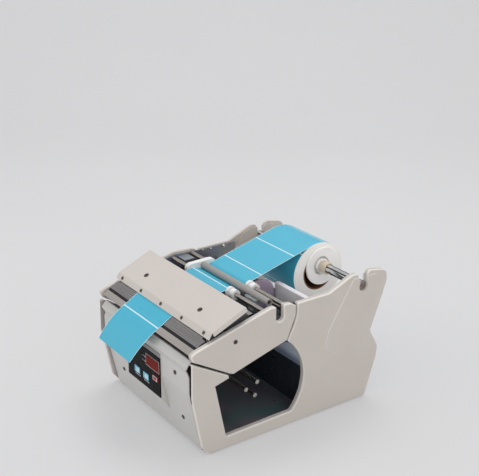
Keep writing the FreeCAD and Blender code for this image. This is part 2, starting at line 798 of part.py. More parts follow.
def hood():
    body = new_body()
    path = [(HOOD_BACK[0] + 3, HOOD_BACK[1] - 7, 0), (*HOOD_BACK, 1.6), (*HOOD_BEND, 3), (*HOOD_LIP, 0)]
    pad(body, [rounded(folded(path, S.hood_wall))], f"-({HOOD_HALF})", f"2 * ({HOOD_HALF})")
    drop = S.hood_flange
    flange = rounded([
        (HOOD_BEND[0] + 2, hood_level(HOOD_BEND[0] + 2) - 0.4), (HOOD_BACK[0], HOOD_BACK[1] - 0.6),
        (HOOD_BACK[0] + 3, HOOD_BACK[1] - drop, 1), (HOOD_BEND[0] + 4, HOOD_BEND[1] - drop + 1, 2),
    ])
    for start in (f"-({HOOD_HALF})", f"{HOOD_HALF} - hood_wall"):
        pad(body, [flange], start, "hood_wall")
    skirt = rounded([
        (HOOD_LIP[0] + 2, HOOD_LIP[1] + 1), (HOOD_BEND[0] + 1, HOOD_BEND[1] - 0.6), (39, hood_level(39) - 0.6),
        (39, hood_level(39) - 18, 1), (HOOD_LIP[0] + 3, HOOD_LIP[1] - 8, 2),
    ])
    for start in (f"-({INSIDE}) + 1", f"{INSIDE} - 1 - sheet_wall"):
        pad(body, [skirt], start, "sheet_wall")
    finish(fuse(body, *hood_arms()), "hood")


def hood_arms():
    """The two plates under the hood that carry it on its pivot pins."""
    top = hood_level
    pivot_back, pivot_level = S.hood_pivot_back, S.hood_pivot_level
    wall = S.hood_wall
    front = S.sensor_back - 18
    outline = rounded([
        (front, top(front) - wall / 2), (HOOD_BACK[0] - 2, top(HOOD_BACK[0] - 2) - wall / 2),
        (HOOD_BACK[0] + 1, HOOD_BACK[1] - 8), (pivot_back + 6, pivot_level + 4, 5),
        (pivot_back + 6, pivot_level - 6, 5), (pivot_back - 8, pivot_level - 6, 5), (front, S.sensor_level - 16, 2),
    ])
    hole = circle(pivot_back, pivot_level, S.hood_pin_radius + S.pivot_clearance)
    plates = []
    for start in (f"{INSIDE} - hood_arm_inset", f"-({INSIDE}) + hood_arm_inset - sheet_wall"):
        body = new_body()
        pad(body, [outline, hole], start, "sheet_wall")
        plates.append(body)
    return plates


def hood_pins():
    pins = []
    for start in (f"{INSIDE} - hood_arm_inset - hood_pin_end", f"-({INSIDE})"):
        pins.append(rod("hood_pin_radius", start, "hood_arm_inset + hood_pin_end", "hood_pivot_back",
                        "hood_pivot_level"))
    finish(fuse(*pins), "hood_pins")


def hood_screws():
    """Small screws along the lip, and two larger ones on the top."""
    heads = []
    lip = Vector(0, HOOD_BEND[0] - HOOD_LIP[0], HOOD_BEND[1] - HOOD_LIP[1]).normalize()
    outward = Vector(0, -lip.z, lip.y)
    middle = Vector(0, (HOOD_BEND[0] + HOOD_LIP[0]) / 2, (HOOD_BEND[1] + HOOD_LIP[1]) / 2)
    for i in range(5):
        heads.append(Part.makeCylinder(2.8, 0.8, middle + Vector((i - 2) * 62.0, 0, 0), outward))
    rise = math.atan2(HOOD_BACK[1] - HOOD_BEND[1], HOOD_BACK[0] - HOOD_BEND[0])
    upward = Vector(0, -math.sin(rise), math.cos(rise))
    for x in (-84.0, 78.0):
        heads.append(Part.makeCylinder(4.2, 0.7, Vector(x, 32.7, hood_level(32.7)), upward))
    group = doc.addObject("Part::Feature", "Screws")
    group.Shape = Part.makeCompound(heads)
    finish(group, "hood_screws")


# Label path

def guide_rods():
    for label, back, level in (("front_guide_rod", "front_rod_back", "front_rod_level"),
                               ("rear_guide_rod", "rear_rod_back", "rear_rod_level")):
        finish(rod("rod_radius", f"-({INSIDE})", f"2 * ({INSIDE})", back, level), label)


def ring(start, back, level):
    """A collar with its wider flange first, then a neck and a round grip."""
    shapes = [
        rod("ring_radius", start, "ring_flange", back, level),
        rod("ring_neck_radius", start + " + ring_flange - 0.5", "ring_neck + 1", back, level),
        rod("ring_hub_radius", start + " + ring_flange + ring_neck", "ring_length - ring_flange - ring_neck",
            back, level),
    ]
    bore = rod("rod_radius + running_gap", start + " - 1", "ring_length + 2", back, level)
    return cut(fuse(*shapes), bore)


def guide_rings():
    """What holds the label web's edges: two rings on the right, a plate with its collar on the left."""
    finish(ring("web_right + ring_web_gap", "front_rod_back", "front_rod_level"), "front_ring_right")
    finish(ring("web_right + ring_web_gap", "rear_rod_back", "rear_rod_level"), "rear_ring_right")
    body = new_body()
    reach = S.edge_guide_radius
    outline = rounded([
        (S.front_rod_back - reach, S.front_rod_level - reach, reach - 0.2),
        (S.rear_rod_back + reach, S.rear_rod_level - reach, reach - 0.2),
        (S.rear_rod_back + reach, S.rear_rod_level + reach, reach - 0.2),
        (S.front_rod_back - reach, S.front_rod_level + reach, reach - 0.2),
    ])
    holes = [circle(S.front_rod_back, S.front_rod_level, S.rod_radius + S.running_gap),
             circle(S.rear_rod_back, S.rear_rod_level, S.rod_radius + S.running_gap)]
    pad(body, [outline, *holes], "web_left - ring_web_gap - edge_guide_wall", "edge_guide_wall")
    finish(body, "front_ring_left")
    place = "web_left - ring_web_gap - edge_guide_wall - collar_length"
    collar = rod("ring_neck_radius", place, "collar_length", "rear_rod_back", "rear_rod_level")
    bore = rod("rod_radius + running_gap", place + " - 1", "collar_length + 2", "rear_rod_back", "rear_rod_level")
    finish(cut(collar, bore), "rear_ring_left")


def tension_roller():
    tube = rod("tension_tube_radius", "tension_left", "tension_right - tension_left", "tension_back", "tension_level")
    bore = rod("tension_bar_radius + running_gap", "tension_left - 1", "tension_right - tension_left + 2",
               "tension_back", "tension_level")
    finish(cut(tube, bore), "tension_tube")
    bar = rod("tension_bar_radius", "tension_left + 3", "tension_right - tension_left - 6", "tension_back",
              "tension_level")
    sockets = []
    for start in ("tension_left + 2", "tension_right - 8"):
        prism = doc.addObject("Part::Prism", "Socket")
        prism.Polygon = 6
        prism.Placement = Placement(Vector(), Rotation(Vector(0, 1, 0), 90))
        sockets.append(bind(prism, Circumradius="2.9", Height="6", x=start, y="tension_back", z="tension_level"))
    finish(cut(bar, fuse(*sockets)), "tension_bar")


def web_sensor():
    """The clear sensor block under the label path, on a stem from the channel."""
    head = block("66", "28", "front_rod_back + ring_radius + 0.4", "5.6", "tension_level - 10", "8")
    stem = block("74", "12", "front_rod_back + ring_radius + 1.4", "3", "tension_level - 24", "15")
    finish(fuse(head, stem), "web_sensor")


def guide_discs():
    """Two clear discs on a sleeve below the web, turning on a fixed shaft."""
    finish(rod("rod_radius", f"-({INSIDE})", f"2 * ({INSIDE})", "disc_back", "disc_level"), "disc_shaft")
    sleeve = rod("disc_hub_radius", "web_left + disc_inset + disc_wall",
                 "web_right - web_left - 2 * disc_inset - 2 * disc_wall", "disc_back", "disc_level")
    bore = rod("rod_radius + running_gap", "web_left", "web_right - web_left", "disc_back", "disc_level")
    finish(cut(sleeve, bore), "disc_sleeve")
    discs = []
    for start in ("web_left + disc_inset", "web_right - disc_inset - disc_wall"):
        disc = rod("disc_radius", start, "disc_wall", "disc_back", "disc_level")
        hole = rod("rod_radius + running_gap", start + " - 1", "disc_wall + 2", "disc_back", "disc_level")
        discs.append(cut(disc, hole))
    finish(fuse(*discs), "guide_discs")


def label_sensor():
    """The gap sensor over the table, clamped on its rail between the hood's arms."""
    reach = f"{INSIDE} - hood_arm_inset"
    finish(rod("sensor_rail_radius", f"-({reach})", f"2 * ({reach})", "sensor_back", "sensor_level"), "sensor_rail")
    head = block("-26", "20", "sensor_back - 8", "16", "sensor_level - 6.5", "11.5")
    bore = rod("sensor_rail_radius", "-27", "22", "sensor_back", "sensor_level")
    finish(cut(head, bore), "label_sensor")


def web_path():
    """The lower side of the label web, from its hanging end back to the roll."""
    centre_back = S.shaft_back + S.roll_shift
    centre_level = roll_level()
    gap = S.contact_gap
    start = Vector(S.rear_rod_back, S.rear_rod_level + S.rod_radius + 0.7, 0)
    reach = Vector(centre_back, centre_level, 0) - start
    radius = S.roll_radius + gap
    angle = math.atan2(reach.y, reach.x) + math.asin(radius / reach.Length)
    run = math.sqrt(reach.Length ** 2 - radius ** 2)
    tangent = start + Vector(math.cos(angle), math.sin(angle), 0) * run
    lift = 0.25
    return [
        (-69, 131.5, 0), (-58, 148.5, 30), (-41, 163, 40), (S.bar_front - 0.6, S.bar_top + lift, 3),
        (S.table_bend, table_level(S.table_bend) + lift, 14), (S.table_back, S.table_back_level + lift, 6),
        (S.front_rod_back, S.front_rod_level + S.rod_radius + 0.4, 0),
        (S.tension_back, S.tension_level - S.tension_tube_radius - 1.2 - S.web_thickness, 0),
        (start.x, start.y, 0), (tangent.x, tangent.y, 0),
    ]


def roll_level():
    """Height of the roll's centre: its core hangs on the hubs' smaller noses."""
    hang = S.core_bore - S.hub_nose_radius - S.contact_gap
    return S.shaft_level - math.sqrt(hang ** 2 - S.roll_shift ** 2)


def label_web():
    body = new_body()
    pad(body, [rounded(folded(web_path(), S.web_thickness))], "web_left", "web_right - web_left")
    finish(body, "label_web")


# Roll, hubs and shaft

def label_roll():
    centre = Vector(0, S.shaft_back + S.roll_shift, roll_level())
    width = S.web_right - S.web_left
    axis = Vector(1, 0, 0)
    start = centre + Vector(S.web_left, 0, 0)
    inner, middle = S.core_bore, S.core_bore + S.core_wall
    core = Part.makeCylinder(middle, width, start, axis).cut(Part.makeCylinder(inner, width, start, axis))
    stock = Part.makeCylinder(S.roll_radius, width, start, axis).cut(Part.makeCylinder(middle, width, start, axis))
    for shape, label in ((core, "roll_core"), (stock, "label_roll")):
        feature = doc.addObject("Part::Feature", "Roll")
        feature.Shape = shape
        finish(feature, label)


def roll_shaft():
    """The thick shaft that lies in the ears' slots."""
    finish(rod("shaft_radius", "-shaft_length / 2", "shaft_length", "shaft_back", "shaft_level"), "roll_shaft")


def hubs():
    """The two plugs that carry the roll: nose, dished flange, boss with a key notch, and shaft collar."""
    notch = [(-10.8, -0.8), (-9.2, -5.9), (-5.2, -9.7), (-9, -15), (-14, -2.1)]
    for side, label in ((LEFT, "hub_left"), (RIGHT, "hub_right")):
        body = new_body()
        edge = S.web_right if side == RIGHT else -S.web_left
        bore, nose, boss = S.shaft_radius + S.running_gap, S.hub_nose_radius, S.hub_boss_radius
        inner, back, face = edge - S.hub_depth, edge + S.contact_gap, edge + S.hub_proud
        points = [
            (inner, bore), (inner, nose - 3, 1), (inner + 5, nose), (back, nose), (back, S.hub_radius, 0.8),
            (face, S.hub_radius, 0.8), (face, S.hub_radius - 2), (back + 1.2, nose - 0.5), (edge - 8, nose - 2.2),
            (edge - 8, boss), (face, boss, 1), (face, S.hub_collar_radius),
            (edge + S.hub_collar_proud, S.hub_collar_radius, 0.8), (edge + S.hub_collar_proud, bore),
        ]
        profile = [(side * point[0], *point[1:]) for point in points]
        sketch = body.newObject("Sketcher::SketchObject", "Profile")
        role = next(item for item in body.Origin.OriginFeatures if item.Role == "XY_Plane")
        sketch.AttachmentSupport = [(role, "")]
        sketch.MapMode = "FlatFace"
        sketch.addGeometry(rounded(profile), False)
        turned = body.newObject("PartDesign::Revolution", "Turned")
        turned.Profile = sketch
        turned.ReferenceAxis = (sketch, ["H_Axis"])
        turned.Angle = 360
        body.Tip = turned
        low, high = sorted((side * (edge - 6), side * (edge + S.hub_proud + 1)))
        pocket(body, [rounded(notch)], low, high - low)
        moved = doc.addObject("Part::Compound", "Hub")
        moved.Links = [body]
        bind(moved, y="shaft_back", z="shaft_level")
        finish(moved, label)


# Take-up spindle and drive

def take_up_spindle():
    disc = rod("spindle_disc_radius", f"-({DRIVE_WALL}) + 8", "spindle_disc_wall", "spindle_back",
               "spindle_level")
    shaft = rod("spindle_shaft_radius", f"-({INSIDE}) + 1", "drive_bay + 8", "spindle_back", "spindle_level")
    rods = []
    for angle in (49, 169, 289):
        y = f"spindle_back + spindle_rod_ring * {math.cos(math.radians(angle)):.5f}"
        z = f"spindle_level + spindle_rod_ring * {math.sin(math.radians(angle)):.5f}"
        rods.append(rod("spindle_rod_radius", f"-({DRIVE_WALL}) + 10",
                        f"{INSIDE} - spindle_end_gap + {DRIVE_WALL} - 10", y, z))
    finish(fuse(disc, shaft, *rods), "take_up_spindle")


def involute_gear(teeth, module, face, turned):
    """A spur gear with true involute flanks, along +X from the origin."""
    pitch = module * teeth / 2
    base = pitch * math.cos(math.radians(20))
    tip, root = pitch + module, pitch - 1.25 * module
    roll_at = lambda radius: math.sqrt(max((radius / base) ** 2 - 1, 0))
    involute = lambda roll: roll - math.atan(roll)
    backlash = 0.03
    half_tooth = math.pi / (2 * teeth) - backlash / pitch + involute(roll_at(pitch))
    start = max(base, root)

    def flank(side, centre):
        points = []
        for i in range(4):
            radius = start + (tip - start) * i / 3
            angle = centre + side * (half_tooth - involute(roll_at(radius)))
            points.append(Vector(0, radius * math.cos(angle), radius * math.sin(angle)))
        return points

    edges = []
    first_foot = last_foot = None
    for tooth in range(teeth):
        centre = turned + 2 * math.pi * tooth / teeth
        low, high = flank(-1, centre), flank(1, centre)
        foot_low = Vector(low[0]).normalize() * root
        foot_high = Vector(high[0]).normalize() * root
        if last_foot is not None:
            edges.append(Part.makeLine(last_foot, foot_low))
        if (low[0] - foot_low).Length > 1e-6:
            edges.append(Part.makeLine(foot_low, low[0]))
        edges += [Part.makeLine(a, b) for a, b in zip(low, low[1:])]
        edges.append(Part.makeLine(low[-1], high[-1]))
        edges += [Part.makeLine(a, b) for a, b in zip(high[::-1], high[::-1][1:])]
        if (high[0] - foot_high).Length > 1e-6:
            edges.append(Part.makeLine(high[0], foot_high))
        if first_foot is None:
            first_foot = foot_low
        last_foot = foot_high
    edges.append(Part.makeLine(last_foot, first_foot))
    return Part.Face(Part.Wire(edges)).extrude(Vector(face, 0, 0))


def gear_train():
    """The spindle's gear and the motor's pinion, in mesh side by side."""
    teeth, pinion_teeth = int(S.gear_teeth), int(S.pinion_teeth)
    distance = S.gear_module * (teeth + pinion_teeth) / 2
    axis = Vector(1, 0, 0)
    bore = Part.makeCylinder(S.spindle_shaft_radius, S.gear_face, Vector(), axis)
    gear = involute_gear(teeth, S.gear_module, S.gear_face, 0.0).cut(bore)
    pinion = involute_gear(pinion_teeth, S.gear_module, S.gear_face, math.pi + math.pi / pinion_teeth)
    reach = S.gear_gap + MOTOR_SHAFT_DEPTH
    pinion = pinion.fuse(Part.makeCylinder(S.motor_shaft_radius, reach, Vector(-reach, 0, 0), axis))
    for shape, back, label in ((gear, S.spindle_back, "spindle_gear"),
                               (pinion, S.spindle_back + distance, "motor_pinion")):
        feature = doc.addObject("Part::Feature", "Gear")
        feature.Shape = shape.translated(Vector(-gear_place, back, S.spindle_level))
        finish(feature, label)


MOTOR_SHAFT_DEPTH = 9.5
MOTOR_BACK = "spindle_back + gear_module * (gear_teeth + pinion_teeth) / 2"


def motor():
    case = rod("motor_radius", f"-({INSIDE})", "motor_length", MOTOR_BACK, "spindle_level")
    hole = rod("motor_shaft_radius + running_gap", f"-({INSIDE}) + motor_length - {MOTOR_SHAFT_DEPTH + 0.5}",
               "11", MOTOR_BACK, "spindle_level")
    finish(cut(case, hole), "motor")


def spindle_bearings():
    """A bush in the drive bulkhead and one on the frame plate."""
    bushes = []
    for start, length in ((f"-({DRIVE_WALL}) - frame_wall - 3", "frame_wall + 6"), (f"-({INSIDE})", "9")):
        ring = rod("spindle_shaft_radius + 5", start, length, "spindle_back", "spindle_level")
        bore = rod("spindle_shaft_radius + running_gap", start + " - 1", length + " + 2", "spindle_back",
                   "spindle_level")
        bushes.append(cut(ring, bore))
    finish(fuse(*bushes), "spindle_bearings")


# Mains side

def mains_parts():
    flange = block("57", "34", "rear_panel_back", "2.4", "33", "26")
    body_block = block("60.2", "27.6", "rear_panel_back - 24", "24", "36.2", "19.6")
    recess = block("63", "22", "rear_panel_back - 14", "20", "39", "14")
    shell = cut(fuse(flange, body_block), recess)
    pins = []
    for x, level in ((67, 43.5), (81, 43.5), (74, 48.5)):
        pins.append(block(x - 1, 2, "rear_panel_back - 15", "12", level - 2, 4))
    finish(fuse(shell, *pins), "mains_inlet")
    frame = block("98", "17.4", "rear_panel_back", "1.6", "34", "23.4")
    box = block("100.2", "13", "rear_panel_back - 16", "16", "36.2", "19")
    hollow = block("101.4", "10.6", "rear_panel_back - 10", "14", "37.4", "16.6")
    seats = rod(ROCKER_PIN + S.running_gap, "100.4", "12.6", "rear_panel_back - 2", ROCKER_CENTRE[1])
    finish(cut(fuse(frame, box), fuse(hollow, seats)), "switch_frame")


ROCKER_CENTRE = (106.7, 45.7)
ROCKER_PIN = 1.5


def rocker():
    """The tilting switch key with its two pivot pins."""
    body = new_body()
    back = S.rear_panel_back
    level = ROCKER_CENTRE[1]
    profile = rounded([
        (back - 7, level - 6.5, 2), (back + 1.2, level - 6.8, 0.6), (back + 2, level, 20),
        (back + 3.2, level + 6.8, 0.6), (back - 7, level + 6.5, 2),
    ])
    pad(body, [profile], "101.9", "9.6")
    pad(body, [circle(back - 2, level, ROCKER_PIN)], "100.6", "12.2")
    finish(body, "power_rocker")


def power_supply():
    finish(block("-60", "110", "215", "70", "floor_level + sheet_wall", "38"), "power_supply")


def build():
    side_cover(LEFT, "left_side_cover")
    side_cover(RIGHT, "right_side_cover")
    arm_cover(LEFT, "left_arm_cover")
    arm_cover(RIGHT, "right_arm_cover")
    frame_plate(LEFT, "left_frame_plate")
    frame_plate(RIGHT, "right_frame_plate")
    ear_plate(LEFT, "left_ear_plate")
    ear_plate(RIGHT, "right_ear_plate")
    base_pan()
    feet()
    front_panel()
    control_panel()
    display()
    keys()
    control_board()
    panel_trim()
    panel_screws()
    rear_bulkhead()
    drive_bulkhead()
    rear_panel()
    roll_deck()
    side_shelf()
    cross_channel()
    peel_bar()
    tear_strip()
    table_plate()
    hood()
    hood_pins()
    hood_screws()
    guide_rods()
    guide_rings()
    tension_roller()
    web_sensor()
    guide_discs()
    label_sensor()
    label_web()
    label_roll()
    roll_shaft()
    hubs()
    take_up_spindle()
    gear_train()
    motor()
    spindle_bearings()
    mains_parts()
    rocker()
    power_supply()
    doc.recompute()


def centre_on_origin():
    """Move every sub-part so that the whole stands on Z = 0, centred in Y."""
    low = min(part.Shape.BoundBox.YMin for part in parts)
    high = max(part.Shape.BoundBox.YMax for part in parts)
    shift = Vector(0, -(low + high) / 2, S.foot_reach)
    for part in list(parts):
        if ".Placement.Base.y" in [path for path, _ in part.ExpressionEngine]:
            label = part.Label
            part.Label = label + "_shape"
            wrapper = doc.addObject("Part::Compound", "Placed")
            wrapper.Links = [part]
            wrapper.Label = label
            parts[parts.index(part)] = wrapper
            part = wrapper
        part.Placement = Placement(part.Placement.Base + shift, part.Placement.Rotation)
    doc.recompute()


def check_and_write():
    """Stop on anything that failed, then write one file for each sub-part."""
    for thing in doc.Objects:
        if "Invalid" in thing.State or "Error" in thing.State:
            raise RuntimeError(f"{thing.Name} ({thing.Label}) failed: {thing.State}")
    for part in parts:
        if part.Shape.isNull() or not part.Shape.isValid():
            raise RuntimeError(f"{part.Label} has no valid shape")
    os.makedirs("parts", exist_ok=True)
    for part in parts:
        part.Shape.exportStep(os.path.join("parts", part.Label + ".step"))
    print(len(parts), "sub-parts written")


build()
centre_on_origin()
check_and_write()
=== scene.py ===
import math

import bpy
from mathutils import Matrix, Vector


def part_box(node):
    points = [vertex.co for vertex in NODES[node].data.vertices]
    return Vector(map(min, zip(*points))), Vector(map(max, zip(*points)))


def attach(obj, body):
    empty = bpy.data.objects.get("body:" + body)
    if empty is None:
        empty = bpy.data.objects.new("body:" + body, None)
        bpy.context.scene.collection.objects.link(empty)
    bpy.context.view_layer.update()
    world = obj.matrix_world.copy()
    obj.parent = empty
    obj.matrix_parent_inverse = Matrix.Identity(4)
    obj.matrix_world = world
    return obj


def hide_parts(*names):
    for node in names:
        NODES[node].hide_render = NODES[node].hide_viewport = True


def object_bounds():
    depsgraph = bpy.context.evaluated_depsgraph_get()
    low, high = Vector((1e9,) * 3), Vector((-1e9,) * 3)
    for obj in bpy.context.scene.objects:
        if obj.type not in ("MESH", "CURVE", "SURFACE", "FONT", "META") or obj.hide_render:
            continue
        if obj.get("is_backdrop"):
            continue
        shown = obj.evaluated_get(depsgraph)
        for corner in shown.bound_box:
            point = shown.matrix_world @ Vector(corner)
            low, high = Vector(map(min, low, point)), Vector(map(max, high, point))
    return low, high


# Label dispenser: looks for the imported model. Metres; X across, +Y to the
# back, +Z up. Places in millimetres count from the machine's own datum, the
# front bottom corner of the side covers, which the roll shaft fixes.

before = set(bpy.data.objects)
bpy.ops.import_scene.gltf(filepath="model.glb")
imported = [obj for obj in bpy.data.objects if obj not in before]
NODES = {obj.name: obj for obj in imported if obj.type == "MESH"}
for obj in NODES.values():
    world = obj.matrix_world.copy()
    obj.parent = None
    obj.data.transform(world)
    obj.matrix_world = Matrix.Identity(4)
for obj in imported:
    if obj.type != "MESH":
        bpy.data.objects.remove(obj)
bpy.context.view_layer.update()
MM = 0.001

# Places on the machine, in millimetres from its datum
SHAFT_BACK, SHAFT_LEVEL = 302.0, 205.0
TABLE_ANGLE = math.radians(29)
BAR_FRONT, BAR_TOP = -23.5, 172.0
TABLE_BEND = 12.0
BULKHEAD_TOP = 85.0
CASE_MIDDLE = 60.0
PLATE_WALL = 2.0


def middle(node):
    """Centre of a node's box."""
    low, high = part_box(node)
    return (low + high) / 2


shaft = middle("roll_shaft")
INNER_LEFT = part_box("left_frame_plate")[0].x + PLATE_WALL * MM


def back_at(millimetres):
    return shaft.y + (millimetres - SHAFT_BACK) * MM


def level_at(millimetres):
    return shaft.z + (millimetres - SHAFT_LEVEL) * MM


def linear(code):
    """Linear colour of an sRGB hex code."""
    channels = [int(code[i:i + 2], 16) / 255 for i in (0, 2, 4)]
    return [c / 12.92 if c <= 0.04045 else ((c + 0.055) / 1.055) ** 2.4 for c in channels] + [1.0]


class Look:
    """A material being built: its nodes, its shader and what is already plugged in."""

    def __init__(self, name, colour, roughness, metallic=0.0, **extras):
        self.material = bpy.data.materials.new(name)
        self.material.use_nodes = True
        self.nodes = self.material.node_tree.nodes
        self.links = self.material.node_tree.links
        self.shader = self.nodes["Principled BSDF"]
        self.shader.inputs["Base Color"].default_value = linear(colour)
        self.shader.inputs["Roughness"].default_value = roughness
        self.shader.inputs["Metallic"].default_value = metallic
        for socket, value in extras.items():
            self.shader.inputs[socket.replace("_", " ")].default_value = value
        self.coordinates = self.nodes.new("ShaderNodeTexCoord")
        self.colour = None
        self.normal = None
        self.roughness = roughness
        self.base = linear(colour)

    def place(self, stretch=(1, 1, 1)):
        """The piece's own coordinates, in metres, stretched along an axis."""
        mapping = self.nodes.new("ShaderNodeMapping")
        mapping.inputs["Scale"].default_value = stretch
        self.links.new(self.coordinates.outputs["Object"], mapping.inputs["Vector"])
        return mapping.outputs["Vector"]

    def noise(self, size, detail=3.0, stretch=(1, 1, 1)):
        """Noise whose features are about as large as size, in metres."""
        node = self.nodes.new("ShaderNodeTexNoise")
        node.inputs["Scale"].default_value = 1 / size
        node.inputs["Detail"].default_value = detail
        self.links.new(self.place(stretch), node.inputs["Vector"])
        return node.outputs["Fac"]

    def ramp(self, source, low, high, start=0.0, end=1.0):
        node = self.nodes.new("ShaderNodeMapRange")
        node.inputs["From Min"].default_value = low
        node.inputs["From Max"].default_value = high
        node.inputs["To Min"].default_value = start
        node.inputs["To Max"].default_value = end
        self.links.new(source, node.inputs["Value"])
        return node.outputs["Result"]

    def blend(self, factor, code):
        """Mix another colour over what is there, by a factor from 0 to 1."""
        mix = self.nodes.new("ShaderNodeMix")
        mix.data_type = "RGBA"
        if self.colour is None:
            mix.inputs["A"].default_value = self.base
        else:
            self.links.new(self.colour, mix.inputs["A"])
        mix.inputs["B"].default_value = linear(code)
        self.links.new(factor, mix.inputs["Factor"])
        self.colour = mix.outputs["Result"]
        self.links.new(self.colour, self.shader.inputs["Base Color"])
        return self

    def mottle(self, code, size, amount=0.5, stretch=(1, 1, 1)):
        """Soft patches of a second colour."""
        return self.blend(self.ramp(self.noise(size, 4, stretch), 0.35, 0.7, 0, amount), code)

    def rough(self, spread, size, stretch=(1, 1, 1)):
        """Patches that are duller and glossier."""
        low, high = self.roughness - spread, self.roughness + spread
        value = self.ramp(self.noise(size, 5, stretch), 0.3, 0.7, max(low, 0.03), min(high, 1))
        self.links.new(value, self.shader.inputs["Roughness"])
        return self

    def bump(self, height, distance, strength=0.5):
        """Relief from a height between 0 and 1; the distance is the full height in metres."""
        node = self.nodes.new("ShaderNodeBump")
        node.inputs["Strength"].default_value = strength
        node.inputs["Distance"].default_value = distance
        self.links.new(height, node.inputs["Height"])
        if self.normal is not None:
            self.links.new(self.normal, node.inputs["Normal"])
        self.normal = node.outputs["Normal"]
        self.links.new(self.normal, self.shader.inputs["Normal"])
        return self

    def grain(self, size, distance, strength=0.5, stretch=(1, 1, 1)):
        """Fine relief from noise."""
        return self.bump(self.noise(size, 2, stretch), distance, strength)

    def along(self, axis, source="Object"):
        """One of the piece's own coordinates, or a part of its normal."""
        split = self.nodes.new("ShaderNodeSeparateXYZ")
        if source == "Normal":
            geometry = self.nodes.new("ShaderNodeNewGeometry")
            self.links.new(geometry.outputs["Normal"], split.inputs[0])
        else:
            self.links.new(self.coordinates.outputs["Object"], split.inputs[0])
        return split.outputs[axis]

    def either_side(self, axis, source="Object"):
        """The same without its sign, for what is alike on both sides."""
        size = self.nodes.new("ShaderNodeMath")
        size.operation = "ABSOLUTE"
        self.links.new(self.along(axis, source), size.inputs[0])
        return size.outputs["Value"]

    def both(self, first, second):
        """A factor where both of two factors hold."""
        product = self.nodes.new("ShaderNodeMath")
        product.operation = "MULTIPLY"
        self.links.new(first, product.inputs[0])
        self.links.new(second, product.inputs[1])
        return product.outputs["Value"]

    def painted_edge_light(self, code, width, amount):
        """Another colour along the edges: painted light, a painted highlight where the colour is
        lighter and painted shade where it is darker.
        """
        bevel = self.nodes.new("ShaderNodeBevel")
        bevel.samples = 4
        bevel.inputs["Radius"].default_value = width
        geometry = self.nodes.new("ShaderNodeNewGeometry")
        dot = self.nodes.new("ShaderNodeVectorMath")
        dot.operation = "DOT_PRODUCT"
        self.links.new(bevel.outputs["Normal"], dot.inputs[0])
        self.links.new(geometry.outputs["Normal"], dot.inputs[1])
        edge = self.ramp(dot.outputs["Value"], 0.98, 0.75, 0, amount)
        return self.blend(edge, code)

    def done(self):
        """The finished material."""
        return self.material


# Metres across, from the centre plane: where the covers' rounded outer edges begin
# and are whole, and the same for the inside of the hood's ends. The hub's collar
# starts at its own distance from the hub's inner end.
COVER_EDGE = (0.1405, 0.1425)
HOOD_INSIDE = (0.1362, 0.1358)
COLLAR_START = 18.6 * MM


def powder_coat(name, colour, darker):
    """Fine textured paint with a slight orange peel, with a painted highlight along its edges and on
    the covers' rounded outer edges.
    """
    look = Look(name, colour, 0.5, Specular_IOR_Level=0.4)
    look.mottle(darker, 0.06, 0.35).mottle(darker, 0.0016, 0.22)
    look.rough(0.08, 0.02).painted_edge_light("E6E1DC", 0.0014, 0.45)
    # Painted highlight: a lighter colour on the covers' rounded outer edges, where they turn away
    # from the flat sides.
    turned = look.ramp(look.either_side("X", "Normal"), 0.96, 0.7, 0, 0.75)
    outside = look.ramp(look.either_side("X"), *COVER_EDGE)
    look.blend(look.both(turned, outside), "E9E5E0")
    return look.grain(0.0011, 0.00012, 0.35).done()


def satin_paint(name, colour, darker, roughness=0.38):
    """Smooth paint on sheet."""
    look = Look(name, colour, roughness, Specular_IOR_Level=0.45)
    look.mottle(darker, 0.09, 0.3).rough(0.06, 0.03)
    return look.grain(0.0022, 0.00006, 0.25).done()


def brushed(name, colour, darker, roughness=0.34, along="X", metallic=0.9):
    """Metal with fine lines along one axis."""
    stretch = {"X": (0.02, 1, 1), "Y": (1, 0.02, 1)}[along]
    look = Look(name, colour, roughness, metallic)
    look.mottle(darker, 0.0012, 0.55, stretch).mottle(darker, 0.03, 0.3)
    look.rough(0.1, 0.0016, stretch)
    return look.grain(0.0007, 0.00005, 0.4, stretch).done()


def zinc(name, colour, tints):
    """Passivated zinc sheet with a faint rainbow in slow clouds."""
    look = Look(name, colour, 0.36, 0.75)
    for code, size, amount in tints:
        look.mottle(code, size, amount)
    look.rough(0.09, 0.012)
    return look.grain(0.0015, 0.00004, 0.25).done()


def hood_paint():
    """Satin paint on the hood with a painted highlight along its edges; its arms and inner skirts
    are bare grey metal, darkened with painted shade.
    """
    look = Look("hood_paint", "CBC4BE", 0.42, Specular_IOR_Level=0.45)
    look.mottle("C3BCB6", 0.09, 0.3).rough(0.06, 0.03).painted_edge_light("E6E1DC", 0.0012, 0.5)
    # Painted shade: dark grey on the inward faces of the hood's arms and skirts.
    sideways = look.ramp(look.either_side("X", "Normal"), 0.7, 0.8)
    inside = look.ramp(look.either_side("X"), *HOOD_INSIDE)
    look.blend(look.both(sideways, inside), "4C4D50")
    return look.grain(0.0022, 0.00006, 0.25).done()


def hub_plastic():
    """White plug with a cream collar on the shaft's side."""
    look = Look("hub_plastic", "F8F7F5", 0.36, Specular_IOR_Level=0.5)
    look.mottle("EDECEA", 0.02, 0.3).rough(0.07, 0.008)
    for name, side in (("hub_right", 1), ("hub_left", -1)):
        low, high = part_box(name)
        start = min(abs(low.x), abs(high.x)) + COLLAR_START
        beyond = look.ramp(look.either_side("X"), start, start + 0.2 * MM)
        here = look.ramp(look.along("X"), 0, side * 1 * MM)
        look.blend(look.both(beyond, here), "CFC3AE")
    return look.grain(0.0009, 0.00004, 0.25).done()


# Painted reflection: dark streaks around the shaft, the place of each and half its width, in turns
SHAFT_REFLECTION_STREAKS = [(0.06, 0.03), (0.2, 0.045), (0.37, 0.03), (0.53, 0.045), (0.7, 0.03), (0.86, 0.045)]


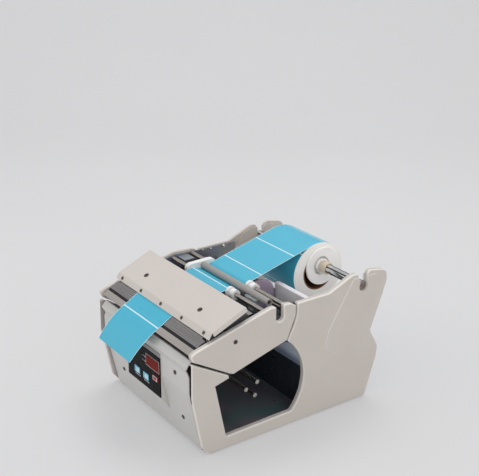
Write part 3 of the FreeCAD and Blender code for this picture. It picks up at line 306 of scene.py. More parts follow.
def shaft_with_painted_reflection():
    """Polished shaft with painted reflection: long dark and bright streaks along it."""
    look = Look("chrome_shaft", "D8DAD8", 0.12, 1.0)
    turned = look.nodes.new("ShaderNodeMapping")
    turned.inputs["Rotation"].default_value = (0, math.pi / 2, 0)
    turned.inputs["Location"].default_value = (-shaft.z, -shaft.y, 0)
    look.links.new(look.place(), turned.inputs["Vector"])
    around = look.nodes.new("ShaderNodeTexGradient")
    around.gradient_type = "RADIAL"
    look.links.new(turned.outputs["Vector"], around.inputs["Vector"])
    streaks = look.nodes.new("ShaderNodeValToRGB")
    stops = streaks.color_ramp.elements
    for spot, half in SHAFT_REFLECTION_STREAKS:
        for shift, tone in ((-half, 0), (-half / 2, 1), (half / 2, 1), (half, 0)):
            stops.new(spot + shift).color = (tone, tone, tone, 1)
    stops[0].color = stops[-1].color = (0, 0, 0, 1)
    look.links.new(around.outputs["Fac"], streaks.inputs["Fac"])
    look.blend(streaks.outputs["Color"], "0A0C0C")
    look.rough(0.04, 0.01)
    return look.grain(0.004, 0.00002, 0.2, (0.1, 1, 1)).done()


def threaded_rod():
    """Bright rod with fine turned rings."""
    look = Look("threaded_rod", "B5AFA8", 0.2, 1.0)
    wave = look.nodes.new("ShaderNodeTexWave")
    wave.bands_direction = "X"
    wave.inputs["Scale"].default_value = 160
    wave.inputs["Detail"].default_value = 0
    look.links.new(look.place(), wave.inputs["Vector"])
    look.mottle("837B74", 0.02, 0.4).rough(0.06, 0.01)
    return look.bump(wave.outputs["Fac"], 0.0002, 0.35).done()


def moulded(name, colour, darker, roughness):
    """Moulded plastic with a fine grain."""
    look = Look(name, colour, roughness)
    look.mottle(darker, 0.02, 0.3).rough(0.07, 0.008)
    return look.grain(0.0009, 0.00004, 0.25).done()


def chrome(name, colour, roughness):
    """Turned and plated metal."""
    look = Look(name, colour, roughness, 1.0)
    look.mottle("8F8A86", 0.02, 0.25).rough(0.05, 0.01)
    return look.grain(0.004, 0.00002, 0.2, (0.1, 1, 1)).done()


def label_paper(name, colour, darker):
    """Matt coated paper with a fibre grain."""
    look = Look(name, colour, 0.42, Specular_IOR_Level=0.8)
    look.mottle(darker, 0.05, 0.28).mottle(darker, 0.0012, 0.16)
    look.rough(0.08, 0.006)
    return look.grain(0.0006, 0.00002, 0.3).done()


def liner_paper():
    """Pale glassine that shows between the labels and at the edges."""
    look = Look("liner_paper", "D6EBF0", 0.4, Specular_IOR_Level=0.35)
    look.mottle("C4DDE4", 0.03, 0.4)
    return look.grain(0.0008, 0.00002, 0.2).done()


def roll_side():
    """The cut edges of many paper layers: fine rings around the roll's centre."""
    look = Look("roll_side", "F7F5F1", 0.65)
    shift = look.nodes.new("ShaderNodeVectorMath")
    shift.operation = "SUBTRACT"
    shift.inputs[1].default_value = middle("label_roll")
    look.links.new(look.coordinates.outputs["Object"], shift.inputs[0])
    flatten = look.nodes.new("ShaderNodeVectorMath")
    flatten.operation = "MULTIPLY"
    flatten.inputs[1].default_value = (0, 1, 1)
    look.links.new(shift.outputs["Vector"], flatten.inputs[0])
    length = look.nodes.new("ShaderNodeVectorMath")
    length.operation = "LENGTH"
    look.links.new(flatten.outputs["Vector"], length.inputs[0])
    rings = look.nodes.new("ShaderNodeTexNoise")
    rings.noise_dimensions = "1D"
    rings.inputs["Scale"].default_value = 2600
    rings.inputs["Detail"].default_value = 2
    look.links.new(length.outputs["Value"], rings.inputs["W"])
    look.blend(look.ramp(rings.outputs["Fac"], 0.4, 0.66, 0, 0.35), "E2E0DB")
    look.mottle("EDEAE4", 0.025, 0.35)
    return look.bump(rings.outputs["Fac"], 0.00012, 0.5).done()


def core_board():
    """Brown board with the helical seam of a wound core."""
    look = Look("core_board", "7A5236", 0.85)
    wave = look.nodes.new("ShaderNodeTexWave")
    wave.bands_direction = "DIAGONAL"
    wave.inputs["Scale"].default_value = 9
    wave.inputs["Distortion"].default_value = 0.3
    look.links.new(look.place(), wave.inputs["Vector"])
    look.blend(look.ramp(wave.outputs["Fac"], 0.9, 1, 0, 0.4), "4E3220")
    look.mottle("5E3E28", 0.01, 0.5)
    return look.grain(0.0009, 0.0001, 0.5).done()


def clear_disc():
    """Clear plastic with a faint pink and violet cast, its edges darkened with painted shade."""
    look = Look("clear_disc", "D3BACB", 0.2, IOR=1.45, Transmission_Weight=0.4, Coat_Weight=0.3)
    look.mottle("C49AB8", 0.035, 0.7).mottle("AEBBD6", 0.05, 0.6).painted_edge_light("6E5A50", 0.0012, 0.7)
    return look.grain(0.004, 0.00002, 0.1).done()


def clear_block():
    """Clear plastic of the web sensor."""
    look = Look("clear_block", "CBD6D8", 0.12, IOR=1.49, Transmission_Weight=0.6)
    look.mottle("9FB4B8", 0.01, 0.4)
    return look.grain(0.003, 0.00005, 0.2).done()


def chamber_sheet():
    """Dark steel inside the take-up chamber, in large patches of purple and teal."""
    look = Look("chamber_steel", "5A5560", 0.35, 0.15)
    look.mottle("85606E", 0.11, 1.0).mottle("3F6464", 0.07, 0.8).rough(0.08, 0.02)
    return look.grain(0.002, 0.00003, 0.2).done()


def bulkhead_sheet():
    """Black perforated wall below, bare blue-grey sheet above the fold, lighter further up with
    painted light from above.
    """
    look = Look("bulkhead_sheet", "2A3038", 0.35, 0.1)
    look.mottle("20262C", 0.05, 0.5)
    level, fold = look.along("Z"), level_at(BULKHEAD_TOP)
    look.blend(look.ramp(level, fold - 0.2 * MM, fold + 0.2 * MM), "93A1B8")
    # Painted light: the sheet above the fold grows lighter upward, where light from above reaches
    # it.
    look.blend(look.ramp(level, fold + 10 * MM, fold + 26 * MM), "D3E0F2")
    look.rough(0.08, 0.02)
    return look.grain(0.002, 0.00003, 0.2).done()


def rubber():
    """Dull rubber of the feet."""
    look = Look("rubber", "1A1A1B", 0.75)
    look.mottle("262627", 0.004, 0.6)
    return look.grain(0.0008, 0.0001, 0.5).done()


def overlay_film():
    """Black film over the key panel."""
    look = Look("overlay_black", "08080B", 0.55, Specular_IOR_Level=0.12)
    look.mottle("0D0E12", 0.02, 0.5).rough(0.06, 0.01)
    return look.grain(0.001, 0.00002, 0.3).done()


def circuit_board():
    """Green board behind the key panel."""
    look = Look("circuit_board", "1D5A34", 0.45)
    look.mottle("123E23", 0.003, 0.6).rough(0.1, 0.004)
    return look.grain(0.001, 0.00005, 0.3).done()


def display_red():
    """Dark red window over the digits."""
    look = Look("display_red", "7A170C", 0.5, Specular_IOR_Level=0.1)
    look.mottle("8C2414", 0.012, 0.5).mottle("4A0C06", 0.004, 0.3)
    return look.grain(0.003, 0.00001, 0.2).done()


MATERIALS = {
    "case": powder_coat("case_paint", "C7C0B9", "BCB4AD"),
    "panel": satin_paint("panel_paint", "C9C8C5", "BFBEBB"),
    "hood": hood_paint(),
    "white": satin_paint("white_paint", "E4E3E6", "D9D8DD", 0.35),
    "zinc": zinc("zinc_sheet", "9AA3AC",
                 [("8496AC", 0.08, 0.6), ("A3AA8C", 0.04, 0.6), ("A68FA8", 0.05, 0.5)]),
    # Zinc darkened with painted shade, for the right frame plate and cross channel that lie in
    # shadow.
    "painted_shade_zinc": zinc("painted_shade_zinc", "4B4E52", [("3C4148", 0.05, 0.5), ("5A5550", 0.04, 0.4)]),
    "chamber": chamber_sheet(),
    "baffle": bulkhead_sheet(),
    "table": brushed("table_steel", "A5A2A1", "858281", 0.24, metallic=1.0),
    "bar": brushed("bar_steel", "AFA9A5", "96908C", 0.45, metallic=0.5),
    "rod": threaded_rod(),
    "chrome": shaft_with_painted_reflection(),
    "chrome_end": chrome("chrome_end", "9C8C86", 0.12),
    "black": overlay_film(),
    "black_steel": brushed("black_steel", "2A2A2D", "141416", 0.4, metallic=0.6),
    "black_plastic": moulded("black_plastic", "1C1C1F", "121214", 0.45),
    "ring": moulded("ring_plastic", "EDEDEC", "DADAD9", 0.42),
    "hub": hub_plastic(),
    "tube": moulded("tube_grey", "9A9794", "83807E", 0.45),
    "disc": clear_disc(),
    "clear": clear_block(),
    "sleeve": moulded("sleeve_grey", "77787C", "606166", 0.5),
    "key_blue": moulded("key_blue", "79BEDB", "66AECD", 0.4),
    "key_pale": moulded("key_pale", "C7E3EC", "AED3E0", 0.4),
    "key_red": moulded("key_red", "B3161C", "971016", 0.38),
    "display": display_red(),
    # Painted shade: grey strip standing for the shaded top facet of the recess above the key panel.
    "trim": moulded("trim_grey", "8E8D8D", "7A7A7A", 0.45),
    "board": circuit_board(),
    "screw": chrome("screw_steel", "5C5854", 0.32),
    "bright_screw": chrome("bright_screw", "DAD9D2", 0.22),
    # Near-black painted shade for the screw heads' slots.
    "slot": moulded("painted_slot_shade", "1B1A1A", "121212", 0.6),
    "nylon": moulded("gear_nylon", "E2DECF", "CFCAB8", 0.5),
    "brass": chrome("brass", "C49A4E", 0.3),
    "motor": brushed("motor_can", "7B7D82", "66686C", 0.38),
    "aluminium": brushed("supply_case", "B5B6B8", "9D9EA1", 0.45, "Y"),
    "rubber": rubber(),
    "label": label_paper("label_paper", "3BAFCB", "2CA7C6"),
    "liner": liner_paper(),
    "roll_side": roll_side(),
    "core": core_board(),
    "mark": moulded("mark_white", "DADBDD", "C9CACC", 0.5),
}

DRESS = {
    "case": ["left_side_cover", "right_side_cover", "left_arm_cover", "right_arm_cover",
             "left_ear_plate"],
    "panel": ["front_panel"],
    "hood": ["hood"],
    "white": ["right_ear_plate", "roll_deck", "side_shelf"],
    "zinc": ["left_frame_plate", "rear_panel"],
    "painted_shade_zinc": ["right_frame_plate", "cross_channel"],
    "chamber": ["base_pan", "drive_bulkhead"],
    "baffle": ["rear_bulkhead"],
    "table": ["table_plate"],
    "bar": ["peel_bar"],
    "rod": ["front_guide_rod", "rear_guide_rod", "disc_shaft", "sensor_rail", "hood_pins",
            "tension_bar", "take_up_spindle"],
    "chrome": ["roll_shaft"],
    "black_steel": ["tear_strip"],
    "black": ["control_panel"],
    "black_plastic": ["label_sensor", "mains_inlet", "switch_frame", "power_rocker"],
    "ring": ["front_ring_left", "front_ring_right", "rear_ring_left", "rear_ring_right"],
    "hub": ["hub_left", "hub_right"],
    "tube": ["tension_tube"],
    "disc": ["guide_discs"],
    "clear": ["web_sensor"],
    "sleeve": ["disc_sleeve"],
    "key_blue": ["key_left", "key_right"],
    "key_red": ["key_stop"],
    "display": ["display_window"],
    "trim": ["panel_trim"],
    "board": ["control_board"],
    "screw": ["case_screws", "hood_screws"],
    "nylon": ["spindle_gear"],
    "brass": ["motor_pinion", "spindle_bearings"],
    "motor": ["motor"],
    "aluminium": ["power_supply"],
    "rubber": ["rubber_feet"],
    "roll_side": ["label_roll"],
    "core": ["roll_core"],
    "label": ["label_web"],
}


WELD_REACH = 1e-6
NODE_CREASE = math.radians(32)


def dress_nodes():
    """Give every carried-over solid its material, and smooth its round faces."""
    for key, names in DRESS.items():
        for name in names:
            solid = NODES[name]
            solid.data.materials.clear()
            solid.data.materials.append(MATERIALS[key])
            for polygon in solid.data.polygons:
                polygon.use_smooth = True
            weld = solid.modifiers.new("weld", "WELD")
            weld.merge_threshold = WELD_REACH
            split = solid.modifiers.new("edges", "EDGE_SPLIT")
            split.split_angle = NODE_CREASE
            solid.modifiers.new("normals", "WEIGHTED_NORMAL")


def piece(name, points, faces, material, body, smooth=True, angle=35):
    """A mesh piece that rides on a body; smooth faces still break at the angle, in degrees."""
    mesh = bpy.data.meshes.new(name)
    mesh.from_pydata(points, [], faces)
    mesh.update()
    obj = bpy.data.objects.new(name, mesh)
    bpy.context.collection.objects.link(obj)
    obj.data.materials.append(MATERIALS[material])
    if smooth:
        for polygon in mesh.polygons:
            polygon.use_smooth = True
        split = obj.modifiers.new("edges", "EDGE_SPLIT")
        split.split_angle = math.radians(angle)
    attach(obj, body)
    return obj


def lathe(name, profile, centre, material, body, steps=96):
    """Turn a closed profile of (along X, radius) around an axis along X."""
    points, faces = [], []
    count = len(profile)
    for step in range(steps):
        angle = 2 * math.pi * step / steps
        for along, radius in profile:
            points.append((centre.x + along, centre.y + radius * math.cos(angle),
                           centre.z + radius * math.sin(angle)))
    for step in range(steps):
        here, there = step * count, (step + 1) % steps * count
        for i in range(count):
            j = (i + 1) % count
            faces.append((here + i, here + j, there + j, there + i))
    return piece(name, points, faces, material, body)


# Label web. GAP_BACK is a place from the datum, in millimetres; the groove is
# where the web dips into the gap behind the bar; the droop is how far the free
# label turns down over one pitch, at its left and right edge.

GAP_BACK = -18.0
PITCH = 68.5 * MM
GAP = 2.1 * MM
LINER_WALL = 0.12 * MM
LABEL_WALL = 0.13 * MM
EDGE_MARGIN = 1.0 * MM
LABEL_CORNER = 1.6 * MM
WEB_LIFT = 0.22 * MM
GROOVE_PLACE = 14.0 * MM
GROOVE_HALF = 2.3 * MM
GROOVE_DEPTH = 0.75 * MM
DROOP_LEFT = math.radians(30)
DROOP_RIGHT = math.radians(21)
FREE_START = math.radians(31)
BAR_ROUND = 1.2 * MM
BAR_SET_BACK = 1.4 * MM
BEND_RADIUS = 20 * MM
BEND_TILT = math.radians(19)
BEND_SHARE = 0.995


def wheel(node, side):
    """Centre and signed radius of a cylinder that the web bends over (+1) or under (-1)."""
    low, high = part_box(node)
    radius = (high.z - low.z) / 2
    return (low.y + high.y) / 2, (low.z + high.z) / 2, side * (radius + WEB_LIFT)


def web_wheels():
    """What the web bends around, from the peel bar to the roll."""
    along = Vector((math.cos(TABLE_ANGLE), math.sin(TABLE_ANGLE)))
    above = Vector((-math.sin(TABLE_ANGLE), math.cos(TABLE_ANGLE)))
    corner = Vector((back_at(BAR_FRONT), level_at(BAR_TOP)))
    bar = corner + along * BAR_SET_BACK - above * (BAR_ROUND - WEB_LIFT)
    bend_level = BAR_TOP + (TABLE_BEND - BAR_FRONT) * math.tan(TABLE_ANGLE)
    bend = Vector((back_at(TABLE_BEND), level_at(bend_level)))
    inward = Vector((math.sin(BEND_TILT), -math.cos(BEND_TILT)))
    bend += inward * (BEND_RADIUS - WEB_LIFT) * BEND_SHARE
    return [
        (bar.x, bar.y, BAR_ROUND),
        (bend.x, bend.y, BEND_RADIUS),
        wheel("front_guide_rod", 1),
        wheel("tension_tube", -1),
        wheel("rear_guide_rod", 1),
        wheel("label_roll", 1),
    ]


TRAIL_STEP = 1.5 * MM
TURN_STEP = math.radians(4)
ROW_STEP = 1.6 * MM


def web_trail():
    """Points (length so far, y, z, direction) from the bar's edge to the roll."""
    wheels = web_wheels()
    headings = []
    for (y0, z0, r0), (y1, z1, r1) in zip(wheels, wheels[1:]):
        reach = math.hypot(y1 - y0, z1 - z0)
        headings.append(math.atan2(z1 - z0, y1 - y0) - math.asin((r0 - r1) / reach))
    trail = []

    def add(y, z, heading):
        length = trail[-1][0] + math.hypot(y - trail[-1][1], z - trail[-1][2]) if trail else 0.0
        trail.append((length, y, z, heading))

    heading = FREE_START
    for i, (y, z, radius) in enumerate(wheels[:-1]):
        turned = headings[i] - heading
        turns = max(2, math.ceil(abs(turned) / TURN_STEP))
        for k in range(turns + 1):
            angle = heading + turned * k / turns
            add(y - math.sin(angle) * radius, z + math.cos(angle) * radius, angle)
        heading = headings[i]
        y1, z1, radius1 = wheels[i + 1]
        end = (y1 - math.sin(heading) * radius1, z1 + math.cos(heading) * radius1)
        start = trail[-1]
        run = math.hypot(end[0] - start[1], end[1] - start[2])
        pieces = max(1, int(run / TRAIL_STEP))
        for k in range(1, pieces + 1):
            share = k / pieces
            add(start[1] + (end[0] - start[1]) * share, start[2] + (end[1] - start[2]) * share,
                heading)
    return trail


TRAIL = web_trail()
web_low, web_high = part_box("label_web")
WEB_LEFT, WEB_RIGHT = web_low.x, web_high.x


def web_place(x, length, lift):
    """A point of the web, by its length from the bar's edge; the free end is below zero."""
    if length < 0:
        share = (x - WEB_LEFT) / (WEB_RIGHT - WEB_LEFT)
        droop = DROOP_LEFT + (DROOP_RIGHT - DROOP_LEFT) * share
        bend = droop / PITCH
        start = TRAIL[0]
        heading = start[3] - bend * length
        y = start[1] - (math.sin(heading) - math.sin(start[3])) / bend
        z = start[2] - (math.cos(start[3]) - math.cos(heading)) / bend
    else:
        low, high = 0, len(TRAIL) - 1
        while high - low > 1:
            half = (low + high) // 2
            if TRAIL[half][0] <= length:
                low = half
            else:
                high = half
        a, b = TRAIL[low], TRAIL[high]
        share = (length - a[0]) / (b[0] - a[0]) if b[0] > a[0] else 0
        y, z = a[1] + (b[1] - a[1]) * share, a[2] + (b[2] - a[2]) * share
        heading = a[3] + (b[3] - a[3]) * share
        away = abs(length - GROOVE_PLACE) / GROOVE_HALF
        if away < 1:
            lift -= GROOVE_DEPTH * (0.5 + 0.5 * math.cos(math.pi * away))
    return x, y - math.sin(heading) * lift, z + math.cos(heading) * lift


def web_rows(start, end):
    """Even steps along the web, from one length to another."""
    count = max(2, math.ceil((end - start) / ROW_STEP))
    return [start + (end - start) * k / count for k in range(count + 1)]


COLUMNS = 14


def slab(name, rows, spans, lifts, material, body, place=web_place):
    """A thin sheet along the web: its rows, each row's two edges, and its two faces' lifts."""
    points, faces = [], []
    width = COLUMNS + 1
    for lift in lifts:
        for row, (left, right) in zip(rows, spans):
            for k in range(width):
                points.append(place(left + (right - left) * k / COLUMNS, row, lift))
    size = len(rows) * width
    for i in range(len(rows) - 1):
        for k in range(COLUMNS):
            a, b = i * width + k, i * width + k + 1
            c, d = b + width, a + width
            faces.append((a, d, c, b))
            faces.append((size + a, size + b, size + c, size + d))
    rim = list(range(width))
    rim += [i * width + COLUMNS for i in range(1, len(rows))]
    rim += [(len(rows) - 1) * width + k for k in range(COLUMNS - 1, -1, -1)]
    rim += [i * width for i in range(len(rows) - 2, 0, -1)]
    for a, b in zip(rim, rim[1:] + rim[:1]):
        faces.append((a, b, size + b, size + a))
    return piece(name, points, faces, material, body, angle=60)


def label_rows(start, end):
    """Rows of one label and its edges, drawn in at the rounded corners."""
    corner = LABEL_CORNER
    steps = [corner * (1 - math.cos(math.pi / 2 * k / 4)) for k in range(5)]
    rows = [start + s for s in steps]
    rows += web_rows(start + corner, end - corner)[1:-1]
    rows += [end - s for s in reversed(steps)]
    spans = []
    for row in rows:
        near = min(row - start, end - row)
        inset = 0.0
        if near < corner:
            inset = corner - math.sqrt(max(corner ** 2 - (corner - near) ** 2, 0))
        spans.append((WEB_LEFT + EDGE_MARGIN + inset, WEB_RIGHT - EDGE_MARGIN - inset))
    return rows, spans


def label_web():
    """The backing paper and its labels, from the hanging end back to the roll.

    Returns how far beyond the web's end on the roll the next gap lies.
    """
    first_gap = (back_at(GAP_BACK) - back_at(BAR_FRONT)) / math.cos(TABLE_ANGLE) - BAR_ROUND
    end = TRAIL[-1][0]
    start = first_gap - PITCH + GAP / 2
    rows = web_rows(start, 0)[:-1] + [point[0] for point in TRAIL]
    rows = [row for i, row in enumerate(rows) if i == 0 or row - rows[i - 1] > 1e-5]
    spans = [(WEB_LEFT, WEB_RIGHT)] * len(rows)
    liner = slab("backing_web", rows, spans, (0, LINER_WALL), "liner", "frame")
    labels = []
    gap = first_gap - PITCH
    while gap + GAP < end:
        low, high = gap + GAP / 2, min(gap + PITCH - GAP / 2, end)
        labels.append(slab(f"label_{len(labels)}", *label_rows(low, high),
                           (LINER_WALL, LINER_WALL + LABEL_WALL), "label", "frame"))
        gap += PITCH
    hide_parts("label_web")
    return gap - end


def roll_place(centre, radius, start):
    """A place function for sheets wound on the roll, by their length from the web's end."""
    def place(x, length, lift):
        angle = start - length / radius
        reach = radius + lift
        return x, centre.y + reach * math.cos(angle), centre.z + reach * math.sin(angle)
    return place


# The roll's rounded edge, the labels' lift off it, and the least length of a label
# before the web's first gap, of any other label, and of the gap at the turn's end
ROLL_SOFT = 0.35 * MM
ROLL_LIFT = 0.02 * MM
LEAST_START = 1 * MM
LEAST_LABEL = 3 * MM
END_GAP = 1 * MM


def label_roll(next_gap):
    """The wound roll: its paper body, and the outermost turn of labels."""
    low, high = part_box("label_roll")
    centre = (low + high) / 2
    radius = (high.z - low.z) / 2
    core_low, core_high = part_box("roll_core")
    inner = (core_high.z - core_low.z) / 2
    half = (high.x - low.x) / 2
    soft = ROLL_SOFT
    profile = [
        (-half, inner), (-half, radius - soft), (-half + soft * 0.3, radius - soft * 0.3),
        (-half + soft, radius), (half - soft, radius), (half - soft * 0.3, radius - soft * 0.3),
        (half, radius - soft), (half, inner),
    ]
    body = lathe("wound_labels", profile, centre, "roll_side", "roll", 128)
    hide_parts("label_roll")
    place = roll_place(centre, radius, TRAIL[-1][3] + math.pi / 2)
    edges = (WEB_LEFT + EDGE_MARGIN, WEB_RIGHT - EDGE_MARGIN)

    def wound_label(name, begin, stop):
        rows = web_rows(begin, stop)
        slab(name, rows, [edges] * len(rows), (ROLL_LIFT, ROLL_LIFT + LABEL_WALL), "label", "roll",
             place)

    if next_gap - GAP / 2 > LEAST_START:
        wound_label("roll_label_start", 0, next_gap - GAP / 2)
    around = 2 * math.pi * radius
    position, count = next_gap + GAP / 2, 0
    while position < around - LEAST_LABEL:
        wound_label(f"roll_label_{count}", position, min(position + PITCH - GAP, around - END_GAP))
        position += PITCH
        count += 1


# Control panel

CORNER_STEPS = 5
RIM = 0.12 * MM


def plate(name, x0, x1, z0, z1, front, thick, material, body, radius=0.0):
    """A plate facing the front, with rounded corners and a slightly rounded rim."""
    def outline(inset):
        r = max(radius - inset, 0.0)
        corners = [(x1 - inset - r, z1 - inset - r, 0), (x0 + inset + r, z1 - inset - r, 90),
                   (x0 + inset + r, z0 + inset + r, 180), (x1 - inset - r, z0 + inset + r, 270)]
        ring = []
        for cx, cz, base in corners:
            for k in range(CORNER_STEPS + 1):
                angle = math.radians(base + 90 * k / CORNER_STEPS)
                ring.append((cx + r * math.cos(angle), cz + r * math.sin(angle)))
        return ring
    rim = min(RIM, thick / 3)
    layers = [(0.0, front + thick), (0.0, front + rim), (rim, front)]
    points, faces = [], []
    for inset, y in layers:
        points += [(x, y, z) for x, z in outline(inset)]
    count = len(outline(0.0))
    for layer in range(2):
        for i in range(count):
            j = (i + 1) % count
            here, next_layer = layer * count, (layer + 1) * count
            faces.append((here + i, here + j, next_layer + j, next_layer + i))
    faces.append(tuple(2 * count + i for i in range(count)))
    faces.append(tuple(reversed(range(count))))
    obj = piece(name, points, faces, material, body, angle=30)
    return obj


# The print's thickness and how far it stands off, then places beside and under the
# display and the keys
PRINT = 0.1 * MM
PRINT_RISE = 0.06 * MM
BORDER_MARGIN, BORDER_WIDTH = 0.35 * MM, 0.6 * MM
DOT_BESIDE, DOT_RADIUS = 3.2 * MM, 1.3 * MM
DOT_LEVELS = (0.35, 0.78)
LINE_BESIDE, LINE_PITCH = 3.6 * MM, 2.6 * MM
LINE_HALF, LINE_HALF_HEIGHT = 0.9 * MM, 0.35 * MM
MARK_START, MARK_PITCH, MARK_LENGTH = 1.6 * MM, 4.2 * MM, 2.4 * MM
MARK_BELOW, MARK_HALF_HEIGHT = 3.4 * MM, 0.8 * MM
KEY_RISE = 0.08 * MM


def printed(name, x0, x1, z0, z1, front):
    """A flat white mark on the key panel's film."""
    plate(name, x0, x1, z0, z1, front, PRINT, "mark", "frame")


def border(name, node, front):
    """A thin printed frame around a node."""
    low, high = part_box(node)
    width = BORDER_WIDTH
    x0, x1 = low.x - BORDER_MARGIN, high.x + BORDER_MARGIN
    z0, z1 = low.z - BORDER_MARGIN, high.z + BORDER_MARGIN
    bars = [
        (x0 - width, x1 + width, z1, z1 + width), (x0 - width, x1 + width, z0 - width, z0),
        (x0 - width, x0, z0, z1), (x1, x1 + width, z0, z1),
    ]
    for i, bar in enumerate(bars):
        printed(f"{name}_{i}", *bar, front)


def stop_key_print():
    """The red key's dark ground, white rim and red pad."""
    low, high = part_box("key_stop")
    front = low.y - KEY_RISE
    width, height = high.x - low.x, high.z - low.z
    plate("stop_ground", low.x, high.x, low.z, high.z, front, PRINT, "black", "stop_key",
          0.8 * MM)
    plate("stop_rim", low.x + width * 0.06, high.x - width * 0.1, low.z + 0.1 * MM,
          high.z - height * 0.3, front - 0.1 * MM, 0.16 * MM, "mark", "stop_key", 1.2 * MM)
    plate("stop_pad", low.x + width * 0.15, high.x - width * 0.19, low.z + height * 0.09,
          high.z - height * 0.38, front - 0.2 * MM, 0.2 * MM, "key_red", "stop_key",
          0.9 * MM)


def key_marks(name, face):
    """A row of plain marks under a blue key."""
    low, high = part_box(name)
    for k in range(4):
        x = low.x + MARK_START + MARK_PITCH * k
        z = low.z - MARK_BELOW
        printed(f"{name}_mark_{k}", x, x + MARK_LENGTH, z - MARK_HALF_HEIGHT, z + MARK_HALF_HEIGHT,
                face)


def key_pad(name, body):
    """The pale pad on a blue key."""
    low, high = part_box(name)
    width, height = high.x - low.x, high.z - low.z
    plate(f"{name}_pad", low.x + width * 0.36, high.x - 1.0 * MM, low.z + height * 0.14,
          high.z - height * 0.14, low.y - KEY_RISE, 0.16 * MM, "key_pale", body, 0.8 * MM)


def control_marks():
    """Plain dots, lines and borders in place of the key panel's printed words."""
    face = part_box("control_panel")[0].y - PRINT_RISE
    border("display_border", "display_window", face)
    stop_key_print()
    low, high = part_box("display_window")
    for i, share in enumerate(DOT_LEVELS):
        z = high.z - (high.z - low.z) * share
        dot = low.x - DOT_BESIDE
        plate(f"indicator_{i}", dot - DOT_RADIUS, dot + DOT_RADIUS, z - DOT_RADIUS, z + DOT_RADIUS,
              face - 0.1 * MM, 0.2 * MM, "mark", "frame", DOT_RADIUS)
        for k in range(3):
            x = dot - LINE_BESIDE - LINE_PITCH * k
            printed(f"indicator_{i}_line_{k}", x - LINE_HALF, x + LINE_HALF, z - LINE_HALF_HEIGHT,
                    z + LINE_HALF_HEIGHT, face)
    key_marks("key_left", face)
    key_marks("key_right", face)
    key_pad("key_left", "left_key")
    key_pad("key_right", "right_key")


# Screws and shaft ends. A slot's half length and half width are shares of the
# head's radius; each screw is turned further than the one before, in radians.

SLOT_LENGTH, SLOT_WIDTH = 0.78, 0.17
SLOT_SINK, SLOT_RISE, CROSS_RISE = 0.1 * MM, 0.06 * MM, 0.01 * MM
FIRST_TURN, NEXT_TURN = 0.5, 1.3
OFF_AXIS = Vector((1, 0.1, 0))
BOX_FACES = [(4, 5, 6, 7), (3, 2, 1, 0), (0, 1, 5, 4), (1, 2, 6, 5), (2, 3, 7, 6), (3, 0, 4, 7)]


def islands(node):
    """The separate solids of a node, each as its list of points."""
    mesh = NODES[node].data
    group = list(range(len(mesh.vertices)))

    def root(i):
        while group[i] != i:
            group[i] = group[group[i]]
            i = group[i]
        return i

    spots = {}
    for vertex in mesh.vertices:
        key = tuple(round(c, 6) for c in vertex.co)
        group[vertex.index] = spots.setdefault(key, vertex.index)
    for edge in mesh.edges:
        a, b = root(edge.vertices[0]), root(edge.vertices[1])
        group[a] = b
    found = {}
    for vertex in mesh.vertices:
        found.setdefault(root(vertex.index), []).append(NODES[node].matrix_world @ vertex.co)
    return list(found.values())


def head_axis(points, centre):
    """Outward normal of a flat round head: the direction in which it is thinnest."""
    angles = [math.radians(tilt) for tilt in range(180)]
    tries = [Vector((0, math.cos(angle), math.sin(angle))) for angle in angles]
    tries.append(Vector((1, 0, 0)))
    spans = []
    for direction in tries:
        reach = [(point - centre).dot(direction) for point in points]
        spans.append((max(reach) - min(reach), direction))
    thickness, axis = min(spans, key=lambda item: item[0])
    outward = centre - Vector((0, middle("roll_deck").y, level_at(CASE_MIDDLE)))
    return (axis if axis.dot(outward) > 0 else -axis), thickness


def slots(node, body, crossed):
    """A dark bar of painted shade, standing for a driver slot or a cross, on every screw head of a
    node.
    """
    for number, head in enumerate(islands(node)):
        centre = sum(head, Vector()) / len(head)
        axis, thickness = head_axis(head, centre)
        radius = max((point - centre).cross(axis).length for point in head)
        across = axis.cross(OFF_AXIS).normalized() if abs(axis.x) < 0.9 else Vector((0, 1, 0))
        beside = axis.cross(across)
        length, width = radius * SLOT_LENGTH, radius * SLOT_WIDTH
        turn = FIRST_TURN + NEXT_TURN * number
        arms = [turn, turn + math.pi / 2] if crossed else [turn]
        for k, angle in enumerate(arms):
            run = across * math.cos(angle) + beside * math.sin(angle)
            flank = axis.cross(run)
            points = []
            for level in (thickness / 2 - SLOT_SINK, thickness / 2 + SLOT_RISE + CROSS_RISE * k):
                for a, b in ((-length, -width), (length, -width), (length, width), (-length, width)):
                    points.append(centre + run * a + flank * b + axis * level)
            bar = piece(f"{node}_slot_{number}_{k}", points, BOX_FACES, "slot", body, smooth=False)


# Back, level and radius of each, in millimetres; the dome's height is a share of its radius
PLATE_SCREWS = [(175.5, 205.2, 2.2), (192.1, 204.1, 2.2), (219.2, 203.3, 3.4)]
DOME = 0.55
SCREW_SINK = 0.3 * MM
POLE = 0.05 * MM


def plate_screws():
    """Three bright dome screws inside the left frame plate, behind the label path."""
    for number, (back, level, reach) in enumerate(PLATE_SCREWS):
        radius = reach * MM
        spot = Vector((INNER_LEFT, back_at(back), level_at(level)))
        profile = [(-SCREW_SINK, POLE), (-SCREW_SINK, radius)]
        profile += [(radius * DOME * math.sin(a), radius * math.cos(a)) for a in
                    (math.radians(15 * k) for k in range(1, 6))]
        profile.append((radius * DOME, POLE))
        screw = lathe(f"plate_screw_{number}", profile, spot, "bright_screw", "frame", 24)


